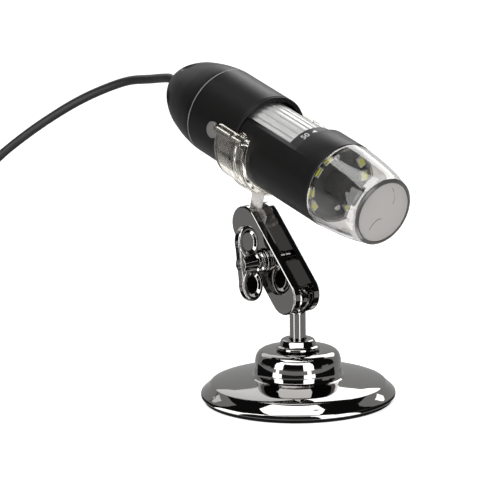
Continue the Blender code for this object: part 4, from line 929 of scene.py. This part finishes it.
def makeFrontShell(shape):
    outline = [(shape["bore"], shape["frontStart"]), (shape["frontRadius"], shape["frontStart"], 0.2),
               (shape["frontRadius"], shape["frontEnd"], 0.25), (shape["bore"], shape["frontEnd"], 0.1)]
    shell = turned("frontShell", outline, 160)
    # The window's long sides lean outwards, so that they catch the light.
    first, last, lean = shape["windowFromDeg"], shape["windowToDeg"], shape["windowLeanDeg"]
    sides = ((shape["bore"], lean), (shape["frontRadius"], 0.0), (2.0 * shape["frontRadius"], -40.0))
    cut = [(0.0, 0.0)] + [(radius, first + extra) for radius, extra in sides] + [(60.0, (first + last) / 2.0)]
    cut += [(radius, last - extra) for radius, extra in sides[::-1]]
    spots = [(r * math.cos(math.radians(a)), r * math.sin(math.radians(a))) for r, a in cut]
    window = slab("windowTool", spots, shape["frontStart"] - 3.0, shape["windowEnd"])
    combine(shell, window)
    bevelled(shell, 0.2, 2, 50.0)
    settle(smooth(shell, 25.0), barrelPlace, "barrel", finish["blackPlastic"],
           ["front_shell"])


def makeButton(shape):
    button = turned("snapButton", shape["button"], 72)
    where = barrelPlace @ buttonPlace(shape)
    settle(button, where, "button", finish["buttonPlastic"], ["snap_button"])


makeCap(barrelShape)
makeRearShell(barrelShape)
makeFrontShell(barrelShape)
makeButton(barrelShape)
print("housing modelled")

# ---- Focus wheel and scale ring ----

wheelShape = {
    "start": -2.9,
    "end": 23.4,
    "radius": 13.95,
    "ribs": 32,
    "ribDepth": 0.5,
    # A rib's outline: shares of the pitch round the wheel, and of the depth
    "rib": ((-0.50, 0.0), (-0.38, 0.0), (-0.33, 0.12), (-0.27, 0.72), (-0.22, 0.95), (-0.12, 1.0),
            (0.12, 1.0), (0.22, 0.95), (0.27, 0.72), (0.33, 0.12), (0.38, 0.0)),
    "bore": 13.2,
    "ringStart": 23.7,
    "ringEnd": 30.9,
    "ringRadius": 14.9,
}
dialShape = {
    # Plain marks on the scale ring: what, where round the ring, station and size
    "numbers": (("50", 25.0, 26.4, 3.3), ("100", -30.0, 26.4, 3.3)),
    "arrow": [(0.8, 0.95), (-1.0, 0.0), (0.8, -0.95)],
    "arrowAwayDeg": (8.0, 4.0),   # from the number's middle, and more for each digit
    "lift": 0.03,
}


def makeWheel(shape):
    root = shape["radius"] - shape["ribDepth"]
    pitch = turn / shape["ribs"]
    outline = []
    for i in range(shape["ribs"]):
        for share, height in shape["rib"]:
            radius = root + shape["ribDepth"] * height
            outline.append((radius * math.cos((i + share) * pitch), radius * math.sin((i + share) * pitch)))
    wheel = slab("focusWheel", outline, shape["start"], shape["end"])
    wheel = bevelled(wheel, 0.25, 2, 60.0)
    combine(wheel, rodTool(shape["bore"], -10.0, 30.0, 96))
    settle(smooth(wheel, 30.0), barrelPlace, "focus", finish["silverWheel"], ["focus_wheel"])
    outline = [(shape["bore"], shape["ringStart"]), (shape["ringRadius"], shape["ringStart"], 0.15),
               (shape["ringRadius"], shape["ringEnd"], 0.15), (shape["bore"], shape["ringEnd"])]
    ring = turned("scaleRing", outline, 160)
    settle(ring, barrelPlace, "barrel", finish["innerPlastic"], ["scale_ring"])


def wrapped(piece, radius, degrees, station):
    # Bends a flat mark round the ring: its X runs round, its Y along the barrel.
    for vertex in piece.data.vertices:
        x, y, z = vertex.co
        angle = math.radians(degrees) - x / radius
        vertex.co = ((radius + z) * math.cos(angle), (radius + z) * math.sin(angle), station - y)
    return piece


def makeDialMarks(shape, radius):
    pieces = []
    away, perDigit = shape["arrowAwayDeg"]
    for i, (word, degrees, station, size) in enumerate(shape["numbers"]):
        deselect()
        bpy.ops.object.text_add()
        text = bpy.context.object
        text.data.body = word
        text.data.size = size
        text.data.align_x = "CENTER"
        text.data.align_y = "CENTER"
        text.data.extrude = shape["lift"]
        bpy.ops.object.convert(target="MESH")
        mark = bpy.context.object
        mark.name = mark.data.name = "dialNumber%d" % (i + 1)
        pieces.append(wrapped(mark, radius, degrees, station))
        arrow = slab("dialArrow%d" % (i + 1), shape["arrow"], -shape["lift"], shape["lift"])
        pieces.append(wrapped(arrow, radius, degrees - away - perDigit * len(word), station))
    for mark in pieces:
        pick(mark)
        bpy.ops.object.mode_set(mode="EDIT")
        tidyMesh(1e-5)
        settle(mark, barrelPlace, "barrel", finish["markWhite"])


makeWheel(wheelShape)
makeDialMarks(dialShape, wheelShape["ringRadius"])
print("wheel modelled")

# ---- Clear nose, lamp ring and lens tube ----

noseShape = {
    "rear": 43.15,
    "length": 23.9,
    "tip": 66.75,
    "rearRadius": 16.2,
    "tipRadius": 12.26,
    "shares": ((0.126, 0.988), (0.335, 0.957), (0.544, 0.920), (0.711, 0.877), (0.837, 0.833),
               (0.962, 0.778)),
    "wall": 1.5,
    "opening": 11.5,
    "seat": 10.2,
    "seatDepth": 1.3,
    "seatGap": 0.15,
    "discRear": 65.45,
    "discFront": 66.45,
    "discRadius": 11.35,
    "lipStart": 41.85,
    "lipRadius": 14.9,
    "lipBore": 13.4,
    "rimStart": 66.0,
    "rimBore": 11.45,
    # Two fine curved lines on the front disc, and half of their width across and up it
    "scoreHalf": (0.11, 0.05),
    "scores": (
        ((9.4, -2.0), (7.4, -3.4), (4.8, -4.2), (2.6, -3.8)),
        ((-6.1, 5.4), (-4.1, 4.1), (-2.7, 2.3), (-2.4, 0.5)),
    ),
}
lampShape = {
    "boardStart": 38.85,
    "boardEnd": 39.85,
    "boardRadius": 14.9,
    "boardBore": 5.3,
    "lampStart": 40.15,
    "lampEnd": 41.55,
    "circle": 12.5,
    "size": (3.3, 3.7),
    "well": (0.35, 0.35, 0.4),          # how far in from the lamp's edge, how deep, and its corner
    "fill": (0.4, 0.34, 0.06, 0.38),    # how far in, its depths from and to, and its corner
    "placesDeg": (34.0, 60.0, 98.0, 127.0, 214.0, 240.0, 278.0, 307.0),
    "screwPlacesDeg": (12.0, 192.0),
    "screwCircle": 10.6,
    "screwSlot": (1.5, 0.32, 40.7),
    "screwOutline": [(0.0, 37.95), (0.7, 37.95), (0.7, 40.15), (1.4, 40.15, 0.1), (1.4, 40.7, 0.3),
                     (0.9, 41.05), (0.0, 41.05)],
}
carriageShape = {
    "rear": 6.0,
    "front": 22.0,
    "outer": 11.0,
    "inner": 9.2,
    "tube": 5.0,
    "tubeEnd": 50.1,
    "tip": 3.6,
    "tipEnd": 56.1,
    "bore": 2.9,
    "throat": 2.0,
    "pocket": 2.3,
    "wall": 1.8,
    # Steps in radius and along, back from the tube's end
    "tubeGroove": ((0.0, 3.2), (0.25, 3.0), (0.25, 2.6), (0.0, 2.4)),
}


def makeNose(shape):
    rear, tip, rimStart, rimBore = (shape[key] for key in ("rear", "tip", "rimStart", "rimBore"))
    discRear, discFront, discRadius = shape["discRear"], shape["discFront"], shape["discRadius"]
    knots = [(shape["rearRadius"], rear)]
    knots += [(shape["rearRadius"] * r, rear + shape["length"] * d) for d, r in shape["shares"]]
    outside = smoothSpots(knots, 26)
    inside = [(r - shape["wall"], z - 0.25) for r, z in outside if z < discRear - 1.9]
    outline = [spot for spot in outside if spot[1] < rimStart - 0.2]
    rimRadius = outline[-1][0] - 0.05
    outline += [(rimRadius, rimStart), (shape["opening"], rimStart),
                (shape["opening"], discRear - shape["seatGap"]), (shape["seat"], discRear - shape["seatGap"]),
                (shape["seat"], discRear - shape["seatDepth"])]
    outline += inside[:0:-1]
    outline += [(shape["lipBore"], rear), (shape["lipBore"], shape["lipStart"]),
                (shape["lipRadius"], shape["lipStart"], 0.15), (shape["lipRadius"], rear)]
    nose = turned("noseCone", outline, 160)
    settle(smooth(nose, 35.0), barrelPlace, "barrel", finish["smokyPlastic"], ["nose_cone"])
    rim = [(rimRadius, rimStart + 0.02)] + [spot for spot in outside if spot[1] > rimStart + 0.1]
    rim += [(shape["tipRadius"] - 0.05, tip - 0.25), (shape["tipRadius"] - 0.35, tip),
            (rimBore, tip, 0.12), (rimBore, rimStart + 0.02)]
    settle(turned("noseRim", rim, 160), barrelPlace, "barrel", finish["smokyRim"])
    disc = [(0.0, discRear), (discRadius, discRear, 0.1), (discRadius, discFront, 0.2), (0.0, discFront)]
    disc = turned("noseWindow", disc, 128)
    settle(disc, barrelPlace, "barrel", finish["windowPlastic"], ["nose_window"])
    across, up = shape["scoreHalf"]
    for i, spots in enumerate(shape["scores"]):
        knots = smoothPath([(*spot, 0.0) for spot in spots], 0.5)
        sides = [(spot.x + across * side, spot.y + up * side)
                 for side in (1.0, -1.0) for spot in knots[::int(side)]]
        score = slab("discLine%d" % (i + 1), sides, discFront - 0.05, discFront + 0.04)
        settle(score, barrelPlace, "barrel", finish["smokyRim"])


def makeLamps(shape):
    outline = [(shape["boardBore"], shape["boardStart"]), (shape["boardRadius"], shape["boardStart"]),
               (shape["boardRadius"], shape["boardEnd"], 0.1), (shape["boardBore"], shape["boardEnd"], 0.1)]
    board = turned("lampBoard", outline, 128)
    settle(board, barrelPlace, "barrel", finish["boardBlack"], ["led_board"])
    deep, wide = shape["size"]
    front = shape["lampEnd"]
    rim, depth, corner = shape["well"]
    inset, low, high, ease = shape["fill"]
    for i, degrees in enumerate(shape["placesDeg"]):
        where = barrelPlace @ around(degrees) @ at(shape["circle"], 0.0, 0.0)
        body = slab("lampBody%d" % (i + 1), blockOutline(deep, wide), shape["lampStart"], front)
        bevelled(body, 0.12, 2)
        well = blockOutline(deep - 2.0 * rim, wide - 2.0 * rim, corner)
        combine(body, slab("wellTool", well, front - depth, front + 1.0))
        settle(smooth(body, 30.0), where, "barrel", finish["lampBody"], ["led_%d" % (i + 1)])
        fill = blockOutline(deep - 2.0 * inset, wide - 2.0 * inset, ease)
        fill = slab("lampFill%d" % (i + 1), fill, front - low, front - high)
        settle(fill, where, "barrel", finish["lampYellow"])
    long, narrow, floor = shape["screwSlot"]
    for i, degrees in enumerate(shape["screwPlacesDeg"]):
        screw = turned("lampScrew%d" % (i + 1), shape["screwOutline"], 40)
        for angle in (20.0, 110.0):
            slot = slab("slotTool", blockOutline(long, narrow), floor, floor + 0.8)
            combine(screw, moved(slot, around(angle)))
        spot = around(degrees) @ at(shape["screwCircle"], 0.0, 0.0)
        settle(smooth(screw), barrelPlace @ spot, "barrel", finish["steel"],
               ["led_screw_%d" % (i + 1)])


def makeCarriage(shape):
    inner, outer, rear, front = (shape[key] for key in ("inner", "outer", "rear", "front"))
    tube, tip, tubeEnd, tipEnd = (shape[key] for key in ("tube", "tip", "tubeEnd", "tipEnd"))
    bore, throat, pocket = (shape[key] for key in ("bore", "throat", "pocket"))
    wall = front - shape["wall"]
    outline = [(inner, rear), (outer, rear, 0.3), (outer, front, 0.3), (tube, front)]
    outline += [(tube - deep, tubeEnd - away, 0.1) for deep, away in shape["tubeGroove"]]
    outline += [(tube, tubeEnd, 0.35), (tip, tubeEnd + 0.1, 0.1), (tip, tipEnd, 0.25),
                (bore + 0.25, tipEnd, 0.1), (bore, tipEnd - 0.3), (bore, tipEnd - pocket),
                (throat, tipEnd - pocket), (throat, wall + pocket), (bore, wall + pocket),
                (bore, wall), (inner, wall)]
    carriage = turned("lensCarriage", outline, 96)
    settle(smooth(carriage, 30.0), barrelPlace, "lens", finish["innerPlastic"],
           ["lens_carriage"])


makeNose(noseShape)
makeLamps(lampShape)
makeCarriage(carriageShape)
print("nose and lamps modelled")

# ---- Grommet, plug and tie ----

plugShape = {
    "relief": [(2.25, 0.0), (2.35, 2.0), (2.6, 6.0), (3.1, 10.8), (3.1, 11.0)],
    # The relief's grooves: how many, the first one's station, their pitch and width, and their floor's radius
    # with its growth
    "grooves": (5, 1.6, 1.7, 0.7, 2.0, 0.07),
    "bodyStart": 11.3,
    "bodyEnd": 38.3,
    "body": (15.7, 7.9),
    "corner": 1.6,
    "gap": 0.3,
    "shell": (12.0, 4.5),
    "shellEnd": 53.6,
    "shellWall": 0.3,
    "hole": (2.1, 2.3, 0.2),
    "holesAcross": (-2.6, 2.6),
    "holesAlong": (4.2, 9.6),
    "tongue": 1.8,
}
grommetOutline = [(0.0, -53.5), (2.1, -53.5, 0.3), (2.4, -53.2), (2.4, -50.5), (3.6, -50.5), (3.6, -49.5),
                  (0.0, -49.5)]


def reliefOutline(shape):
    # The grooves are steps in the outline between the relief's own spots.
    knots = shape["relief"]
    count, first, pitch, wide, floor, growth = shape["grooves"]

    def outer(station):
        near, far = next(pair for pair in zip(knots, knots[1:]) if pair[0][1] <= station <= pair[1][1])
        return near[0] + (far[0] - near[0]) * (station - near[1]) / (far[1] - near[1])

    outline = [(0.0, 0.0), (*knots[0], 0.2)]
    done = 0.0
    for i in range(count):
        start = first + pitch * i
        end = start + wide
        outline += [knot for knot in knots if done < knot[1] < start]
        outline += [(outer(start), start), (floor + growth * i, start), (floor + growth * i, end),
                    (outer(end), end)]
        done = end
    return outline + [knot for knot in knots if knot[1] > done] + [(0.0, knots[-1][1])]


def makePlug(shape, cordEnd):
    end = (cordEnd.x, cordEnd.y - cordShape["gap"], cordShape["plugHeight"] / 2.0)
    where = place(end, (1.0, 0.0, 0.0), (0.0, -1.0, 0.0))
    relief = turned("plugRelief", reliefOutline(shape), 64)
    settle(smooth(relief, 30.0), where, "root", finish["plugPlastic"], ["plug_relief"])
    wide, tall = shape["body"]
    body = slab("plugBody", blockOutline(wide, tall, shape["corner"]), shape["bodyStart"], shape["bodyEnd"])
    bevelled(body, 0.9, 4, 60.0)
    settle(smooth(body, 30.0), where, "root", finish["plugPlastic"], ["plug_body"])
    wide, tall = shape["shell"]
    start, end = shape["bodyEnd"] + shape["gap"], shape["shellEnd"]
    wall = shape["shellWall"]
    shell = slab("plugShell", blockOutline(wide, tall, 0.5), start, end)
    inside = blockOutline(wide - 2.0 * wall, tall - 2.0 * wall, 0.3)
    combine(shell, slab("shellTool", inside, start + wall, end + 1.0))
    sideways = Matrix.Rotation(math.pi / 2.0, 4, "X") @ at(0.0, 0.0, -1.0)
    for across in shape["holesAcross"]:
        for along in shape["holesAlong"]:
            hole = slab("holeTool", blockOutline(*shape["hole"]), 0.0, 9.0)
            combine(shell, moved(hole, at(across, 0.0, start + along) @ sideways))
    settle(smooth(shell, 30.0), where, "root", finish["steel"], ["plug_shell"])
    rise = tall / 2.0 - 2.0 * wall - shape["tongue"] / 2.0
    tongue = blockOutline(wide - 4.0 * wall, shape["tongue"], 0.15)
    tongue = slab("plugTongue", tongue, start + 2.0 * wall, end - wall)
    moved(tongue, at(0.0, rise, 0.0))
    settle(tongue, where, "root", finish["tongueWhite"], ["plug_tongue"])


def makeGrommet():
    grommet = turned("cordGrommet", grommetOutline, 64)
    settle(grommet, barrelPlace, "barrel", finish["cordJacket"], ["cord_grommet"])


tieShape = {
    "placeDeg": 315.0,
    "away": 19.5,
    "height": 4.65,
    "opening": (20.7, 8.1, 2.05),
    "thickness": 0.5,
    "width": 4.0,
    "tailLength": 7.5,
    "tailMiddle": -2.0,
}


def makeTie(shape):
    # A woven strap round the coil's turns, with its loose end folded over the top.
    wide, tall, corner = shape["opening"]
    both = 2.0 * shape["thickness"]
    half = shape["width"] / 2.0
    tie = slab("cordTie", blockOutline(wide + both, tall + both, corner + shape["thickness"]), -half, half)
    combine(tie, slab("tieTool", blockOutline(wide, tall, corner), -half - 1.0, half + 1.0))
    tail = slab("tieTail", blockOutline(shape["tailLength"], shape["thickness"], 0.2), -half, half)
    moved(tail, at(shape["tailMiddle"], tall / 2.0 + 1.45 * shape["thickness"], 0.0))
    combine(tie, tail, "UNION")
    bevelled(tie, 0.12, 2, 50.0)
    angle = math.radians(shape["placeDeg"])
    outward = Vector((math.cos(angle), math.sin(angle), 0.0))
    middle = Vector((*cordShape["coilCentre"], 0.001 * shape["height"])) + 0.001 * shape["away"] * outward
    along = Vector((-outward.y, outward.x, 0.0))
    settle(tie, place(middle, outward, along), "root", finish["tieFabric"], ["cord_tie"])


makePlug(plugShape, coilPoints[-1])
makeGrommet()
makeTie(tieShape)
print("plug modelled")

# ---- Carried-over solids ----

keptFinish = {
    "ballast": "castIron", "chassis": "innerPlastic", "front_lens": "lensGlass", "rear_lens": "lensGlass",
    "main_board": "boardGreen", "sensor_board": "boardGreen", "image_sensor": "boardBlack",
    "processor_chip": "boardBlack", "snap_switch": "boardBlack",
}
for node, finishName in keptFinish.items():
    solid = frame["nodes"][node]
    solid.data.materials.clear()
    solid.data.materials.append(finish[finishName])
print("inner parts finished")

# ---- Floor, backdrop and light ----

stageSetup = {
    "floorSize": 6.0,
    "floorColour": (0.80, 0.80, 0.80),
    "floorGlow": 0.45,
    "floorSeenGlow": 0.78,
    "worldDiffuse": 0.30,
    "glossWhite": 0.45,
    "overhead": {"spot": (-0.08, -0.17, 1.0), "size": (0.82, 0.60), "watts": 6.9},
    # Upright cards: distance, height from and to, bearings from and to, brightness
    "wallCards": (
        (1.36, 0.0, 1.55, -205.0, 20.0, 0.012),
        (1.30, 0.0, 0.80, -154.0, -130.0, 4.5),
        (1.30, 0.0, 0.80, -76.0, -48.0, 4.5),
        (1.30, 0.0, 0.14, -24.0, -2.0, 0.40),
        (1.30, 0.80, 1.50, -150.0, -50.0, 4.5),
        (1.30, 0.592, 1.444, 40.0, 90.0, 4.0),
        (1.30, 0.592, 1.444, 90.0, 140.0, 1.5),
    ),
    # Cards flat on the floor: distances from and to, bearings from and to, brightness
    "floorCards": (
        (0.0375, 0.093, -215.0, -154.0, 0.012),
        (0.0375, 0.093, -154.0, -130.0, 4.5),
        (0.0375, 0.093, -130.0, -76.0, 0.03),
        (0.0375, 0.093, -76.0, -48.0, 4.5),
        (0.0375, 0.093, -48.0, 13.0, 0.012),
        (0.093, 0.145, -147.0, -138.0, 4.5),
        (0.093, 0.145, -67.0, -57.0, 4.5),
        (0.145, 0.600, -154.0, -130.0, 4.5),
        (0.145, 0.600, -76.0, -48.0, 4.5),
        (0.145, 1.30, -215.0, -165.0, 0.42),
        (0.145, 1.30, -165.0, -154.0, 0.05),
        (0.145, 1.30, -130.0, -76.0, 0.05),
        (0.145, 1.30, -48.0, -26.0, 0.05),
        (0.145, 1.30, -26.0, 20.0, 0.40),
    ),
    "ceilingCard": (1.36, 1.55, 0.012),
}


pureWhite = (1.0, 1.0, 1.0, 1.0)


def byRay(tree, plain, gloss, seen):
    # One look for the light that falls on things, one in gloss, and one seen straight on or through glass.
    rays = addNode(tree, "ShaderNodeLightPath")
    first = addNode(tree, "ShaderNodeMixShader")
    second = addNode(tree, "ShaderNodeMixShader")
    either = addNode(tree, "ShaderNodeMath", operation="MAXIMUM")
    tree.links.new(rays.outputs["Is Glossy Ray"], first.inputs["Fac"])
    tree.links.new(plain, first.inputs[1])
    tree.links.new(gloss, first.inputs[2])
    tree.links.new(rays.outputs["Is Camera Ray"], either.inputs[0])
    tree.links.new(rays.outputs["Is Transmission Ray"], either.inputs[1])
    tree.links.new(either.outputs[0], second.inputs["Fac"])
    tree.links.new(first.outputs[0], second.inputs[1])
    tree.links.new(seen, second.inputs[2])
    return second.outputs[0]


def cardFinish(brightness):
    material, tree = newMaterial("card")
    out = addNode(tree, "ShaderNodeOutputMaterial")
    glow = addNode(tree, "ShaderNodeEmission", Color=pureWhite, Strength=brightness)
    tree.links.new(glow.outputs[0], out.inputs["Surface"])
    return material


def bentCard(radius, height, first, last, action, **values):
    # An arc of card, drawn out upwards or over the floor.
    angles = [math.radians(first + (last - first) * i / 16.0) for i in range(17)]
    spots = [(radius * math.cos(angle), radius * math.sin(angle), height) for angle in angles]
    card = startLine("card", spots[0])
    drawLine(spots)
    bpy.ops.mesh.select_all(action="SELECT")
    bpy.ops.mesh.extrude_region_move()
    action(**values)
    bpy.ops.object.mode_set(mode="OBJECT")
    return card


def makeCards(setup):
    # Bright and dark cards round the set that only gloss sees, for the metal and the satin plastic to mirror.
    cards = []
    for distance, low, high, first, last, brightness in setup["wallCards"]:
        card = bentCard(distance, low, first, last, bpy.ops.transform.translate, value=(0.0, 0.0, high - low))
        cards.append((card, brightness))
    for near, far, first, last, brightness in setup["floorCards"]:
        grow = far / near
        card = bentCard(near, 0.0003, first, last, bpy.ops.transform.resize, value=(grow, grow, 1.0),
                        center_override=(0.0, 0.0, 0.0))
        cards.append((card, brightness))
    radius, height, brightness = setup["ceilingCard"]
    deselect()
    bpy.ops.mesh.primitive_circle_add(vertices=64, radius=radius, location=(0.0, 0.0, height),
                                      fill_type="NGON")
    cards.append((bpy.context.object, brightness))
    for card, brightness in cards:
        card.data.materials.append(cardFinish(brightness))
        card.visible_camera = card.visible_diffuse = card.visible_shadow = card.visible_transmission = False


def makeStage(setup):
    world = bpy.data.worlds.new("studio")
    bpy.context.scene.world = world
    world.use_nodes = True
    tree = world.node_tree
    tree.nodes.clear()
    skies = [addNode(tree, "ShaderNodeBackground", Color=pureWhite, Strength=strength).outputs[0]
             for strength in (setup["worldDiffuse"], setup["glossWhite"], 1.0)]
    out = addNode(tree, "ShaderNodeOutputWorld")
    tree.links.new(byRay(tree, *skies), out.inputs["Surface"])

    deselect()
    bpy.ops.mesh.primitive_plane_add(size=setup["floorSize"])
    floor = bpy.context.object
    floor.name = "studioFloor"
    material, tree = newMaterial("studioFloor")
    out = addNode(tree, "ShaderNodeOutputMaterial")
    paint = addNode(tree, "ShaderNodeBsdfDiffuse", Color=(*setup["floorColour"], 1.0))
    looks = []
    for strength in (setup["floorGlow"], setup["floorSeenGlow"]):
        glow = addNode(tree, "ShaderNodeEmission", Color=pureWhite, Strength=strength)
        both = addNode(tree, "ShaderNodeAddShader")
        tree.links.new(paint.outputs[0], both.inputs[0])
        tree.links.new(glow.outputs[0], both.inputs[1])
        looks.append(both.outputs[0])
    gloss = addNode(tree, "ShaderNodeEmission", Color=pureWhite, Strength=setup["glossWhite"])
    tree.links.new(byRay(tree, looks[0], gloss.outputs[0], looks[1]), out.inputs["Surface"])
    floor.data.materials.append(material)
    lamp = setup["overhead"]
    bpy.ops.object.light_add(type="AREA", location=lamp["spot"])
    light = bpy.context.object
    light.name = "overhead"
    light.data.shape = "RECTANGLE"
    light.data.size, light.data.size_y = lamp["size"]
    light.data.energy = lamp["watts"]


makeStage(stageSetup)
makeCards(stageSetup)
bpy.context.scene.view_settings.view_transform = "Standard"
print("stage set")
